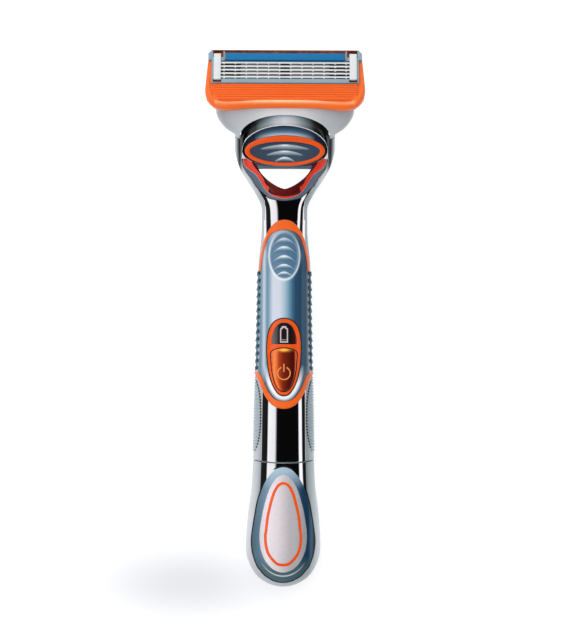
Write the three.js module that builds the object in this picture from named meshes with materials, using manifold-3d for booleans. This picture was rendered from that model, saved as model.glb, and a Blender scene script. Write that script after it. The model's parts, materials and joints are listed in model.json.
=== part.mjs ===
// Battery razor with a five-blade cartridge, lying on its back with its face up
// Millimetres. X runs across, +Y towards the head and +Z out of the face. The origin is the
// middle of the flat of the back that the razor rests on.
import * as THREE from "three";
import { mergeVertices } from "three/addons/utils/BufferGeometryUtils.js";
import Module from "manifold-3d";

// Fits, walls and overruns
const fit = 0.15;
const runningGap = 0.2;
const overrun = 2;
const outlineOverrun = 0.4;
const housingWall = 0.95;
const cavityWallShare = 0.6;
const backWall = 0.55;
const faceSkin = 0.9;
const backSkin = 1.5;
const restCut = 0.6;

// Counts that set how fine the mesh is, and the smallest step that it keeps
const sectionPoints = 18;
const outlinePoints = 24;
const roundSides = 16;
const smallSides = 8;
const ribSides = 5;
const wireSides = 5;
const coilSteps = 8;
const meshTolerance = 0.04;

// Battery and its contacts
const batteryDiameter = 10.5;
const batteryLength = 44.5;
const batteryPlay = 0.35;
const batteryRim = 0.5;
const terminalDiameter = 3.8;
const terminalHeight = 0.9;
const springRoom = 2.9;
const springPocketRadius = 4.1;
const springWire = 0.5;
const springTurns = 3;
const contactThickness = 0.4;
const contactRadius = 4.4;

// Handle
const sideRoom = 2.35;
const restPointToSeam = 19;
const capLength = 33.6;
const tailWall = 4.9;
const contactRoom = 1.9;
const boardLength = 19.8;
const motorRoom = 1.9;
const motorLength = 12;
const weightGap = 1;
const weightLength = 4;
const weightRoom = 4.1;
const loopHalfWidth = 13.2;
const loopLength = 21.4;
const neckNarrowingShare = 0.76;

// Worked out from the battery and what lies in line with it
const boreRadius = batteryDiameter / 2 + batteryPlay;
const axisZ = backSkin + fit - restCut + backWall + boreRadius;
const gripHalfWidth = boreRadius + sideRoom;
const gripDepth = axisZ + boreRadius + housingWall + fit + faceSkin;
const seamY = -restPointToSeam;
const tailEndY = seamY - capLength;
const batteryBottomY = tailEndY + tailWall + springRoom;
const batteryTopY = batteryBottomY + batteryLength;
const boardStartY = batteryTopY + contactRoom;
const boardEndY = boardStartY + boardLength;
const motorStartY = boardEndY + motorRoom;
const motorEndY = motorStartY + motorLength;
const weightStartY = motorEndY + weightGap;
const weightEndY = weightStartY + weightLength;
const gripEndY = weightEndY + weightRoom;
const gripLength = gripEndY - seamY;
const dockY = gripEndY + loopLength;

// Shares along the grip, the cap and the loop, each with the shares that the body has there:
// half width, lift of the back and height of the face
const gripShares = [
  [0, 1.02, 0.007, 1.007],
  [0.11, 1, 0, 0.993],
  [0.237, 0.98, 0, 0.976],
  [0.363, 0.943, 0, 0.959],
  [0.489, 0.93, 0, 0.932],
  [0.615, 0.905, 0.01, 0.899],
  [0.741, 0.897, 0.05, 0.872],
  [0.836, 0.855, 0.107, 0.851],
  [0.931, 0.773, 0.2, 0.845],
  [1, 0.76, 0.287, 0.851],
];
const capShares = [
  [0.208, 1.063, 0.03, 1.03],
  [0.417, 1.176, 0.05, 1.06],
  [0.625, 1.239, 0.06, 1.075],
  [0.714, 1.239, 0.07, 1.07],
  [0.774, 1.195, 0.085, 1.06],
  [0.833, 1.1, 0.11, 1.03],
  [0.896, 0.93, 0.165, 0.98],
  [0.929, 0.78, 0.21, 0.94],
  [0.951, 0.64, 0.25, 0.9],
  [0.97, 0.47, 0.31, 0.84],
  [0.985, 0.33, 0.37, 0.78],
  [1, 0.12, 0.45, 0.7],
];
const loopShares = [
  [0.168, 0.014, 0.058, 0.014],
  [0.271, 0.15, 0.088, 0.028],
  [0.369, 0.316, 0.115, 0.047],
  [0.467, 0.517, 0.143, 0.07],
  [0.565, 0.7, 0.17, 0.098],
  [0.668, 0.853, 0.2, 0.131],
  [0.766, 0.937, 0.232, 0.164],
  [0.864, 1, 0.262, 0.2],
  [1, 1, 0.306, 0.248],
  [1.29, 1, 0.41, 0.353],
];

// Panels laid into the face and the back
const panelRise = 0.9;
const panelSideRise = 0.15;
const panelBottomDrop = 4.75;
const panelTopGap = 2.2;
const rimRise = 0.6;
const rimSideRise = 0.1;
const rimBottomWidth = 1.95;
const rimTopWidth = 2.3;
const rimUpperLength = 13.6;
const rimLowerLength = 7.9;
const panelOutlineShares = [
  [0, 0],
  [0.3, 0.008],
  [0.53, 0.045],
  [0.667, 0.081],
  [0.742, 0.125],
  [0.838, 0.158],
  [0.9, 0.196],
  [0.902, 0.338],
  [0.878, 0.514],
  [0.87, 0.689],
  [0.862, 0.752],
  [0.811, 0.796],
  [0.748, 0.84],
  [0.673, 0.901],
  [0.591, 0.939],
  [0.465, 0.972],
  [0.34, 0.986],
  [0, 1],
];
const rimOutlineShares = [
  [0, 0],
  [0.503, 0.032],
  [0.629, 0.046],
  [0.684, 0.074],
  [0.818, 0.13],
  [0.93, 0.155],
  [0.96, 0.338],
  [0.93, 0.514],
  [0.9, 0.689],
  [0.862, 0.735],
  [0.836, 0.768],
  [0.78, 0.824],
  [0.717, 0.876],
  [0.642, 0.918],
  [0.541, 0.962],
  [0.409, 0.98],
  [0.258, 0.994],
  [0, 1],
];
const spineShares = [
  [0, 0.725],
  [0.237, 0.74],
  [0.615, 0.8],
  [0.931, 0.88],
  [1, 0.9],
];
const backGripStart = 1.8;
const backGripTail = 9.8;
const backGripLow = 3.6;
const backGripHigh = 7.1;
const backGripStepY = 20.8;
const backGripStepLength = 2.2;
const backGripRound = 1.6;
const ribCount = 14;
const ribSpacing = 1.93;
const ribRadius = 0.45;
const ribProud = 0.3;
const ribHeight = 3.4;
const firstRibGap = 23.8;
const sideGripLength = 18.8;
const sideGripStart = 2.1;
const sideGripReach = 1.75;
const sideGripProud = 0.12;
const toothSpacing = 0.77;
const toothDepth = 0.32;

// Thumb rest on the front panel
const thumbHalfWidth = 3.95;
const thumbLength = 12.5;
const thumbTopGap = 1;
const thumbDepth = 0.25;
const thumbRidgeRise = 0.55;
const thumbRidgeWidth = 1.25;
const thumbRidgeSpacing = 2.35;
const thumbRidgeBow = 1.1;
const tipShare = 0.25;
const thumbRidgeHalfShares = [0.7, 0.84, 0.84, 0.7, 0.44];

// Switch: bezel, window, button and what lies under them
const bezelHalfWidth = 4.6;
const bezelLength = 20.25;
const bezelDrop = 3.35;
const bezelRise = 0.15;
const bezelShares = [
  [0, 0],
  [0.333, 0.022],
  [0.565, 0.075],
  [0.73, 0.156],
  [0.861, 0.284],
  [0.941, 0.435],
  [1, 0.548],
  [0.993, 0.659],
  [0.924, 0.773],
  [0.826, 0.847],
  [0.652, 0.916],
  [0.391, 0.98],
  [0, 1],
];
const windowHalfWidth = 3.3;
const windowLengthShare = 0.2815;
const windowPlaceShare = 0.66;
const windowShares = [
  [0, 0],
  [0.9, 0],
  [1, 0.1],
  [0.98, 0.3],
  [0.87, 0.55],
  [0.66, 0.8],
  [0.35, 0.96],
  [0, 1],
];
const buttonHalfWidth = 3.6;
const buttonLengthShare = 0.558;
const buttonPlaceShare = 0.045;
const buttonRise = 0.25;
const buttonPostRadius = 1.3;
const buttonTravel = 0.5;
const buttonSink = 0.3;
const buttonShares = [
  [0, 0],
  [0.3, 0.014],
  [0.55, 0.085],
  [0.753, 0.232],
  [0.877, 0.429],
  [0.978, 0.694],
  [1, 0.9],
  [0.93, 0.96],
  [0.6, 0.99],
  [0, 1],
];
const bayHalfWidth = 3.95;
const boardThickness = 0.8;
const boardZ = 9.2;
const switchSize = 4;
const switchHeight = 1.5;
const switchPlaceShare = 0.21;
const switchPlungerRadius = 0.9;
const switchPlungerHeight = 0.5;
const lampPlaceShare = 0.66;
const lampLength = 1.6;
const lampWidth = 1;
const lampHeight = 0.7;

// Motor, its weight and the chassis that holds them
const motorRadius = 3;
const shaftRadius = 0.5;
const weightRadius = 2.2;
const chassisGap = 0.2;
const chassisWall = 0.8;
const clampLength = 2.2;
const clampInset = 1;
const clampShare = 0.7;
const bulkheadThickness = 0.8;

// Bayonet between the body and the cap
const spigotWall = 0.5;
const spigotLength = 5.4;
const sealLength = 0.9;
const sealThickness = 0.3;
const collarThickness = 0.27;
const collarLength = 2.9;
const lugLength = 0.8;
const lugHeight = 0.22;
const lugWidth = 3;

// Tail pad
const padHalfWidth = 8.5;
const padLength = 30.57;
const padTopGap = 1.48;
const padDepth = 1;
const padLift = 2.5;
const padRise = 0.12;
const padShares = [
  [0, 0],
  [0.314, 0.019],
  [0.606, 0.07],
  [0.817, 0.143],
  [0.947, 0.239],
  [1, 0.349],
  [0.947, 0.496],
  [0.87, 0.607],
  [0.79, 0.724],
  [0.7, 0.812],
  [0.606, 0.863],
  [0.447, 0.93],
  [0.261, 0.98],
  [0, 1],
];
const faceHalfWidth = 6.42;
const faceLength = 25.5;
const faceTopGap = 2.25;
const faceRise = 0.3;
const badgeShares = [
  [0, 0],
  [0.38, 0.02],
  [0.66, 0.08],
  [0.88, 0.185],
  [0.985, 0.3],
  [0.98, 0.42],
  [0.9, 0.565],
  [0.75, 0.725],
  [0.6, 0.835],
  [0.45, 0.91],
  [0.3, 0.962],
  [0, 1],
];
const lineHalfWidth = 5.26;
const lineLength = 21.95;
const lineTopGap = 1.8;
const lineWidth = 0.8;
const lineDepth = 0.45;

// Pivot of the cartridge, and the slopes of the dock and of the cartridge face
const pivotAheadOfDock = 8.9;
const pivotAboveFace = 1.298;
const dockSlope = (20 * Math.PI) / 180;
const faceSlope = (25 * Math.PI) / 180;
const pivotY = dockY + pivotAheadOfDock;

// Nose of the handle and what works in it, measured from the pivot along and across the dock
const noseHalfWidth = 11.6;
const noseTip = 2.16;
const noseDepth = 6.84;
const noseTop = 1.9;
const noseHeight = 6.2;
const noseBevel = 0.5;
const noseTail = 5;
const noseFloor = 0.55;
const visorThickness = 1;
const sideWall = 0.45;
const buttonFrontGap = 3.24;
const dishHalfWidth = 10.55;
const dishHalfLength = 4.15;
const dishBehindTip = 10.15;
const dishRise = 0.45;
const dishWidth = 1.25;
const dishSink = 0.5;
const skirtLength = 4.65;
const slopeLength = 5.9;
const slopeFoot = 4.7;
const shoulderLength = 4.35;
const shoulderDrop = 0.5;
const slopeRise = 0.17;
const dishRidgeShares = [
  [0.55, 0.3],
  [0.4, -0.12],
  [0.22, -0.5],
];
const dishRidgeWidth = 0.9;
const dishRidgeBow = 0.6;
const dishRidgeRise = 0.45;
const releaseTravel = 1.8;
const basePlate = 1.4;
const chamberHalfWidth = 7.6;
const chamberWall = 2.74;
const chamberBackGap = 1.4;
const ejectorPlate = 0.7;
const prongWidth = 1.6;
const prongSpacing = 6;
const prongHeight = 1.6;
const prongLift = 0.75;
const abutmentHalfWidth = 2;
const abutmentThickness = 0.8;

// Spring plunger and the cam lug that it presses
const plungerRadius = 1.2;
const plungerDrop = 2.2;
const plungerReach = 1.1;
const collarRadius = 1.35;
const plungerCollar = 0.7;
const plungerStemRadius = 0.55;
const plungerStemLength = 0.35;
const plungerSpringLength = 5;
const plungerSpringRadius = 1;
const plungerSpringWire = 0.3;
const plungerSpringTurns = 5;
const lugNoseRadius = 0.6;
const camHalfWidth = 1.8;

// Connector yoke
const yokeBackWall = 1;
const yokeLead = 1.2;
const yokeGap = 0.25;
const yokeNearCut = 1.7;
const yokeSkirt = 9.5;
const yokeShares = [
  [0, 0],
  [0.075, 0.02],
  [0.182, 0.4],
  [0.28, 0.61],
  [0.374, 0.76],
  [0.48, 0.9],
  [0.589, 0.98],
  [0.72, 1],
  [1, 1],
];
const bossWidth = 2;
const bossRadius = 1.35;
const trunnionRadius = 0.8;
const lugOpeningHalfWidth = 2.4;
const lugOpeningTop = 0.7;

// Cartridge, in its own frame: across, up the face and out of it, from the pivot
const bladeCount = 5;
const bladeSpacing = 1.05;
const firstBladeU = 5.9;
const bladeTop = 4.55;
const bladeLeg = 2.15;
const bladeSheet = 0.2;
const bladeLean = 0.28;
const bladeWidth = 0.62;
const bladeTravel = 0.3;
const bladeEndGap = 0.3;
const bladeUnderClip = 0.54;
const frameHalfWidth = 19.3;
const frameEar = 0.9;
const frameBottomU = 4.2;
const frameTopU = 13.95;
const earLength = 2.9;
const frameChamfer = 1.05;
const frameBack = 1.6;
const frameFront = 4.5;
const windowBottomU = 5.35;
const windowTopU = 10.75;
const ledgeWidth = 1.6;
const ledgeThickness = 0.4;
const stripEndGap = 1.21;
const stripBottomU = 11.15;
const stripTopU = 13.2;
const stripProud = 0.35;
const stripDepth = 0.7;
const clipWidth = 1.9;
const clipSheet = 0.25;
const clipInset = 0.54;
const clipBottomU = 4.6;
const clipTopU = 12.9;
const clipFold = 1.1;
const clipRise = 0.2;
const earPlate = 0.8;
const earInset = 0.05;
const earRadius = 1.45;
const trimmerEndGap = 3.86;
const trimmerWidth = 1.9;
const trimmerSheet = 0.3;
const trimmerEdgeGap = 0.3;
const trimmerPostWidth = 1.2;
const trimmerPostHeight = 0.55;

// Elastomer guard
const guardSide = 1.65;
const guardBack = 1.75;
const guardTop = 4.35;
const guardFrontU = 4.05;
const lipRadius = 1.2;
const lipSag = 0.15;
const lipRoomShare = 0.45;
const guardArmTopU = 10.85;
const guardArmWidth = 0.85;
const guardArmTop = 4.1;
const guardLipShares = [
  [0, 1.9],
  [0.353, 2],
  [0.568, 2.4],
  [0.745, 2.8],
  [0.878, 2.15],
  [0.936, 1.05],
  [0.98, -0.25],
  [1, -2.2],
];
const finCount = 7;
const finSpacing = 0.66;
const finGroove = 0.3;
const finDepth = 0.45;
const finEndInset = 0.2;
const finLowerInset = 1.9;
const firstFinGap = 0.35;

// Loop opening and its liner
const holeHalfWidth = 6.9;
const holeTopGap = 7.8;
const holeDepth = 5.4;
const holeExponent = 1.4;
const linerDepth = 1.1;
const trimDepth = 2.2;
const trimProud = 0.1;
const linerLift = 3.6;
const linerTail = 3.1;
const linerHalfWidth = 11.2;
const linerLength = 11.5;
const linerShares = [
  [0, 0],
  [0.33, 0.052],
  [0.56, 0.226],
  [0.69, 0.357],
  [0.78, 0.504],
  [0.87, 0.617],
  [0.97, 0.79],
  [1, 1],
];
const trimShares = [
  [0, 0],
  [0.262, 0.055],
  [0.41, 0.16],
  [0.518, 0.312],
  [0.613, 0.47],
  [0.703, 0.599],
  [0.834, 0.69],
  [0.955, 0.817],
  [0.975, 1],
];
const trimRaise = 0.5;

// Widths worked out from the cartridge frame
const clipInnerX = frameHalfWidth - clipInset - clipWidth;
const bladeHalfLength = clipInnerX + bladeUnderClip;
const stripHalfLength = clipInnerX - stripEndGap;
const trimmerHalfLength = clipInnerX - trimmerEndGap;
const earInnerX = frameHalfWidth - earPlate - earInset;
const yokeHalfWidth = earInnerX - yokeGap;
const trunnionLength = yokeGap + earPlate;
const guardHalfWidth = frameHalfWidth + guardSide;
const finHalfWidth = frameHalfWidth - finEndInset;
const finLowerHalfWidth = frameHalfWidth - finLowerInset;

const finishes = {
  orange: { color: 0xee6a2c, roughness: 0.4, metalness: 0 },
  blueGrey: { color: 0x7f9fb5, roughness: 0.35, metalness: 0.2 },
  darkBlue: { color: 0x48627a, roughness: 0.45, metalness: 0 },
  satinSilver: { color: 0xb9bfc4, roughness: 0.35, metalness: 0.8 },
  chrome: { color: 0xd8dadd, roughness: 0.08, metalness: 1 },
  clearBlue: { color: 0x9fb4c4, roughness: 0.2, metalness: 0 },
  strip: { color: 0x1f7fb6, roughness: 0.5, metalness: 0 },
  steel: { color: 0xcdd2d6, roughness: 0.25, metalness: 1 },
  amber: { color: 0x8c2d14, roughness: 0.15, metalness: 0 },
  black: { color: 0x1a1a1e, roughness: 0.15, metalness: 0 },
  pearl: { color: 0xdcd2d8, roughness: 0.35, metalness: 0.3 },
  board: { color: 0x2f6b3f, roughness: 0.6, metalness: 0 },
  greyPlastic: { color: 0x6d737a, roughness: 0.6, metalness: 0 },
  battery: { color: 0x2c2f33, roughness: 0.35, metalness: 0.4 },
  redTrim: { color: 0xd0331c, roughness: 0.4, metalness: 0 },
};

const wasm = await Module();
wasm.setup();

// A closed geometry as a solid that can be joined and cut
function solidOf(geometry) {
  const bare = new THREE.BufferGeometry();
  const flat = geometry.index ? geometry.toNonIndexed() : geometry;
  bare.setAttribute("position", flat.getAttribute("position"));
  const merged = mergeVertices(bare);
  const mesh = new wasm.Mesh({
    numProp: 3,
    vertProperties: merged.getAttribute("position").array,
    triVerts: new Uint32Array(merged.index.array),
  });
  const solid = new wasm.Manifold(mesh);
  return solid;
}

function geometryOf(solid) {
  const mesh = solid.getMesh();
  const points = new Float32Array(mesh.numVert * 3);
  for (let vertex = 0; vertex < mesh.numVert; vertex += 1) {
    const start = vertex * mesh.numProp;
    points.set(mesh.vertProperties.subarray(start, start + 3), vertex * 3);
  }
  const geometry = new THREE.BufferGeometry();
  geometry.setAttribute("position", new THREE.BufferAttribute(points, 3));
  geometry.setIndex(new THREE.BufferAttribute(mesh.triVerts, 1));
  geometry.computeVertexNormals();
  return geometry;
}

const join = (...solids) => solids.reduce((whole, next) => whole.add(next));
const cut = (solid, ...tools) => tools.reduce((rest, tool) => rest.subtract(tool), solid);
const common = (...solids) => solids.reduce((rest, next) => rest.intersect(next));

// The same solid with steps too small to matter taken out
const eased = (solid) => solid.simplify(meshTolerance);

function piece(name, solid, finish) {
  const mesh = new THREE.Mesh(geometryOf(solid), new THREE.MeshStandardMaterial(finish));
  mesh.name = name;
  return mesh;
}

// A box between two corners
function block(low, high) {
  const size = high.map((value, axis) => value - low[axis]);
  const geometry = new THREE.BoxGeometry(...size);
  geometry.translate(...low.map((value, axis) => value + size[axis] / 2));
  return solidOf(geometry);
}

// A round bar from one place to another along an axis
function bar(radius, start, end, axis, sides = roundSides) {
  const geometry = new THREE.CylinderGeometry(radius, radius, end - start, sides);
  geometry.translate(0, (start + end) / 2, 0);
  if (axis === "x") geometry.rotateZ(-Math.PI / 2);
  if (axis === "z") geometry.rotateX(Math.PI / 2);
  return geometry;
}

// A shape drawn across and along, standing between two heights
function prism(shape, low, high) {
  const geometry = new THREE.ExtrudeGeometry(shape, { depth: high - low, bevelEnabled: false });
  geometry.translate(0, 0, low);
  return geometry;
}

// A shape drawn along and up, running from one place across to another
function profileBar(shape, left, right) {
  const geometry = new THREE.ExtrudeGeometry(shape, { depth: right - left, bevelEnabled: false });
  const turn = new THREE.Matrix4().makeBasis(
    new THREE.Vector3(0, 1, 0),
    new THREE.Vector3(0, 0, 1),
    new THREE.Vector3(1, 0, 0),
  );
  geometry.applyMatrix4(turn);
  geometry.translate(left, 0, 0);
  return geometry;
}

function shapeOf(points) {
  return new THREE.Shape(points.map(([x, y]) => new THREE.Vector2(x, y)));
}

// Points [half width share, place share] of one side, as a whole outline in millimetres
function outline(shares, halfWidth, low, length) {
  const right = shares.map(([half, place]) => [half * halfWidth, low + place * length]);
  const left = right.filter(([half]) => half > 0).reverse();
  return [...right, ...left.map(([half, place]) => [-half, place])];
}

function smoothShape(points, count = outlinePoints) {
  const corners = points.map(([x, y]) => new THREE.Vector3(x, y, 0));
  const curve = new THREE.CatmullRomCurve3(corners, true);
  return shapeOf(curve.getPoints(count).slice(0, -1).map((point) => [point.x, point.y]));
}

function ellipseShape(halfWidth, halfLength, centre, count = outlinePoints) {
  const points = [];
  for (let step = 0; step < count; step += 1) {
    const angle = (2 * Math.PI * step) / count;
    points.push([halfWidth * Math.cos(angle), centre + halfLength * Math.sin(angle)]);
  }
  return shapeOf(points);
}

// The same outline, moved out by a clearance
function grown(shape, by) {
  const points = shape.getPoints();
  const area = THREE.ShapeUtils.area(points);
  const outwards = area > 0 ? 1 : -1;
  const count = points.length;
  return shapeOf(
    points.map((point, index) => {
      const before = points[(index + count - 1) % count];
      const after = points[(index + 1) % count];
      const run = after.clone().sub(before).normalize();
      return [point.x + outwards * by * run.y, point.y - outwards * by * run.x];
    }),
  );
}

// A value read from a table of [place, value], smooth between its rows
function valueAt(table, place) {
  const last = table.length - 1;
  if (place <= table[0][0]) return table[0][1];
  if (place >= table[last][0]) return table[last][1];
  const row = table.findIndex(([start], index) => index < last && place <= table[index + 1][0]);
  const slope = (index) => {
    const low = table[Math.max(index - 1, 0)];
    const high = table[Math.min(index + 1, last)];
    return (high[1] - low[1]) / (high[0] - low[0]);
  };
  const [start, first] = table[row];
  const [end, second] = table[row + 1];
  const span = end - start;
  const t = (place - start) / span;
  const rise = 3 * t * t - 2 * t * t * t;
  const leave = t * t * t - 2 * t * t + t;
  const arrive = t * t * t - t * t;
  return (
    first * (1 - rise) + second * rise + span * (slope(row) * leave + slope(row + 1) * arrive)
  );
}

// Body tables from the tail end to the dock
const neckHalfWidth = neckNarrowingShare * gripHalfWidth;
const neckRow = gripShares[gripShares.length - 1];
const rows = [
  ...capShares
    .map(([along, half, lift, face]) => [
      seamY - along * capLength,
      half * gripHalfWidth,
      lift * gripDepth - restCut,
      face * gripDepth,
    ])
    .reverse(),
  ...gripShares.map(([along, half, lift, face]) => [
    seamY + along * gripLength,
    half * gripHalfWidth,
    lift * gripDepth - restCut,
    face * gripDepth,
  ]),
  ...loopShares.map(([along, half, lift, face]) => [
    gripEndY + along * loopLength,
    neckHalfWidth + half * (loopHalfWidth - neckHalfWidth),
    neckRow[2] * gripDepth - restCut + lift * loopLength,
    neckRow[3] * gripDepth + face * loopLength,
  ]),
];
const halfWidthTable = rows.map((row) => [row[0], row[1]]);
const backTable = rows.map((row) => [row[0], row[2]]);
const frontTable = rows.map((row) => [row[0], row[3]]);
const halfWidthAt = (y) => valueAt(halfWidthTable, y);
const frontAt = (y) => valueAt(frontTable, y);
const backAt = (y) => valueAt(backTable, y);
const pivotZ = frontAt(dockY) + pivotAboveFace;
const sectionPower = 2 / 2.4;
const bent = (value) => Math.sign(value) * Math.abs(value) ** sectionPower;

// One section of the body, with its sides, back and face moved in
function bodyRing(y, inset) {
  const middle = (frontAt(y) + backAt(y)) / 2;
  const half = halfWidthAt(y) - inset.side;
  const up = frontAt(y) - inset.face - middle;
  const down = middle - backAt(y) - inset.back;
  const ring = [];
  for (let step = 0; step < sectionPoints; step += 1) {
    const angle = (2 * Math.PI * step) / sectionPoints;
    const height = Math.sin(angle) > 0 ? up : down;
    ring.push(new THREE.Vector3(half * bent(Math.cos(angle)), y, middle + height * bent(Math.sin(angle))));
  }
  return ring;
}

// A closed skin over rings of the same count, with its ends closed
function loft(rings) {
  const count = rings[0].length;
  const points = rings.flat();
  const faces = [];
  for (let ring = 0; ring < rings.length - 1; ring += 1) {
    for (let step = 0; step < count; step += 1) {
      const next = (step + 1) % count;
      const low = ring * count;
      const high = low + count;
      faces.push(low + step, high + step, low + next);
      faces.push(low + next, high + step, high + next);
    }
  }
  [0, rings.length - 1].forEach((ring) => {
    const centre = new THREE.Vector3();
    rings[ring].forEach((point) => centre.add(point));
    points.push(centre.divideScalar(count));
    for (let step = 0; step < count; step += 1) {
      const next = (step + 1) % count;
      const start = ring * count;
      const pair = ring === 0 ? [start + step, start + next] : [start + next, start + step];
      faces.push(points.length - 1, ...pair);
    }
  });
  const geometry = new THREE.BufferGeometry();
  geometry.setFromPoints(points);
  geometry.setIndex(faces);
  const solid = solidOf(geometry);
  if (solid.volume() > 0) return solid;
  for (let face = 0; face < faces.length; face += 3) {
    [faces[face], faces[face + 1]] = [faces[face + 1], faces[face]];
  }
  geometry.setIndex(faces);
  return solidOf(geometry);
}

const level = (depth) => ({ side: depth, back: depth, face: depth });
const raised = (side, face) => ({ side: -side, back: 0, face: -face });

// The body between two places, with its skin moved in by an inset
function bodyLoft(start, end, inset) {
  const between = halfWidthTable.map((row) => row[0]).filter((y) => y > start && y < end);
  const places = [start, ...between, end];
  return loft(places.map((y) => bodyRing(y, inset)));
}

const wide = loopHalfWidth + yokeHalfWidth;
const tall = gripDepth + loopLength;
const underFloor = block([-wide, tailEndY - overrun, -tall], [wide, pivotY, 0]);

// Places worked out for the panels
const panelBottomY = boardStartY - panelBottomDrop;
const panelTopY = gripEndY - panelTopGap;
const panelLength = panelTopY - panelBottomY;
const rimBottomY = panelBottomY - rimBottomWidth;
const rimTopY = panelTopY + rimTopWidth;
const rimLength = rimTopY - rimBottomY;
const panelShape = smoothShape(outline(panelOutlineShares, gripHalfWidth, panelBottomY, panelLength));
const rimShape = smoothShape(outline(rimOutlineShares, gripHalfWidth, rimBottomY, rimLength));
const bezelBottomY = boardStartY - bezelDrop;
const bezelShape = smoothShape(outline(bezelShares, bezelHalfWidth, bezelBottomY, bezelLength));
const windowBottomY = bezelBottomY + windowPlaceShare * bezelLength;
const buttonBottomY = bezelBottomY + buttonPlaceShare * bezelLength;
const windowLength = windowLengthShare * bezelLength;
const buttonLength = buttonLengthShare * bezelLength;
const windowShape = smoothShape(outline(windowShares, windowHalfWidth, windowBottomY, windowLength));
const buttonShape = smoothShape(outline(buttonShares, buttonHalfWidth, buttonBottomY, buttonLength));
const switchY = boardStartY + switchPlaceShare * boardLength;
const bayStartY = boardStartY - bulkheadThickness;
const bayEndY = boardEndY + runningGap;
const buttonWell = () => {
  const floor = frontAt(switchY) - buttonSink - buttonTravel - runningGap;
  return solidOf(prism(grown(buttonShape, fit), floor, tall));
};
const bay = join(
  block([-bayHalfWidth, bayStartY, boardZ - fit], [bayHalfWidth, bayEndY, tall]),
  buttonWell(),
);

function spineShape(by) {
  const side = spineShares.map(([along, share]) => {
    const y = seamY + along * gripLength;
    return [share * halfWidthAt(y) + by, y];
  });
  const left = [...side].reverse().map(([half, y]) => [-half, y]);
  return shapeOf([...side, ...left]);
}

// Side outline of the back grip: low by the battery, high beside the switch
function backGripShape(by) {
  const start = seamY + backGripStart - by;
  const end = gripEndY - backGripTail + by;
  const step = seamY + backGripStepY;
  const high = backGripHigh + by;
  const low = backGripLow + by;
  return shapeOf([
    [start, -overrun],
    [end, -overrun],
    [end, low - backGripRound],
    [end - backGripRound, low],
    [end - backGripRound - backGripStepLength, high],
    [step + backGripStepLength, high],
    [step, low],
    [start + backGripRound, low],
    [start, low - backGripRound],
  ]);
}

function batteryCell() {
  const radius = batteryDiameter / 2;
  const nub = terminalDiameter / 2;
  const profile = [
    [0, 0],
    [radius - batteryRim, 0],
    [radius, batteryRim],
    [radius, batteryLength - terminalHeight - batteryRim],
    [radius - batteryRim, batteryLength - terminalHeight],
    [nub, batteryLength - terminalHeight],
    [nub, batteryLength],
    [0, batteryLength],
  ];
  const geometry = new THREE.LatheGeometry(profile.map(([r, y]) => new THREE.Vector2(r, y)), roundSides);
  geometry.translate(0, batteryBottomY, axisZ);
  return solidOf(geometry);
}

// A ring about the battery's axis
function axisTube(outer, inner, start, end) {
  const shell = bar(outer, start, end, "y").translate(0, 0, axisZ);
  return cut(solidOf(shell), axisHole(inner, start - overrun, end + overrun));
}

// A round hole whose flats stand at the radius
function axisHole(radius, start, end) {
  return axisBar(radius / Math.cos(Math.PI / roundSides), start, end);
}

function axisBar(radius, start, end, sides = roundSides) {
  return solidOf(bar(radius, start, end, "y", sides).translate(0, 0, axisZ));
}

// A coil about the battery's axis or another, as one unbroken wire
function coil(radiusAt, wire, turns, start, end, height) {
  const steps = Math.round(turns * coilSteps);
  const rings = [];
  for (let step = 0; step <= steps; step += 1) {
    const share = step / steps;
    const angle = 2 * Math.PI * turns * share;
    const radius = radiusAt(share);
    const ring = [];
    for (let side = 0; side < wireSides; side += 1) {
      const around = (2 * Math.PI * side) / wireSides;
      const reach = radius + (wire / 2) * Math.cos(around);
      const along = start + (end - start) * share + (wire / 2) * Math.sin(around);
      ring.push(new THREE.Vector3(reach * Math.cos(angle), along, height + reach * Math.sin(angle)));
    }
    rings.push(ring);
  }
  return loft(rings);
}

const spigotRadius = boreRadius + spigotWall;
const collarInner = spigotRadius + fit / 2;
const collarOuter = collarInner + collarThickness;
const socketRadius = collarOuter + fit / 2;
const spigotEndY = seamY - spigotLength;
const lugReach = spigotRadius + lugHeight;

function handleBody() {
  const shell = bodyLoft(seamY, gripEndY, level(0));
  const spineBed = cut(
    solidOf(prism(spineShape(fit), axisZ, tall)),
    bodyLoft(seamY - overrun, gripEndY + overrun, level(faceSkin + fit)),
  );
  const backBed = cut(
    solidOf(profileBar(backGripShape(fit), -wide, wide)),
    bodyLoft(seamY - overrun, gripEndY + overrun, level(backSkin + fit)),
  );
  const bore = axisHole(boreRadius, spigotEndY - overrun, bayStartY);
  const cavity = bodyLoft(bayStartY, gripEndY + overrun, level(cavityInset));
  const spigot = axisBar(spigotRadius, spigotEndY, seamY + overrun);
  const lugs = common(
    axisBar(lugReach, spigotEndY, spigotEndY + lugLength),
    block([-wide, spigotEndY, axisZ - lugWidth / 2], [wide, seamY, axisZ + lugWidth / 2]),
  );
  const sides = cut(sideGripZones(fit), bodyLoft(seamY, gripEndY, level(faceSkin + fit)));
  return cut(join(shell, spigot, lugs), spineBed, backBed, sides, bore, cavity, bay, underFloor);
}

// The room inside the body ahead of the battery
const cavityInset = backSkin + fit + cavityWallShare * housingWall;

function chromeSpine() {
  const strip = common(
    solidOf(prism(spineShape(0), axisZ, tall)),
    bodyLoft(seamY, gripEndY, level(0)),
  );
  return cut(strip, bodyLoft(seamY - overrun, gripEndY + overrun, level(faceSkin)), bay);
}

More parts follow.
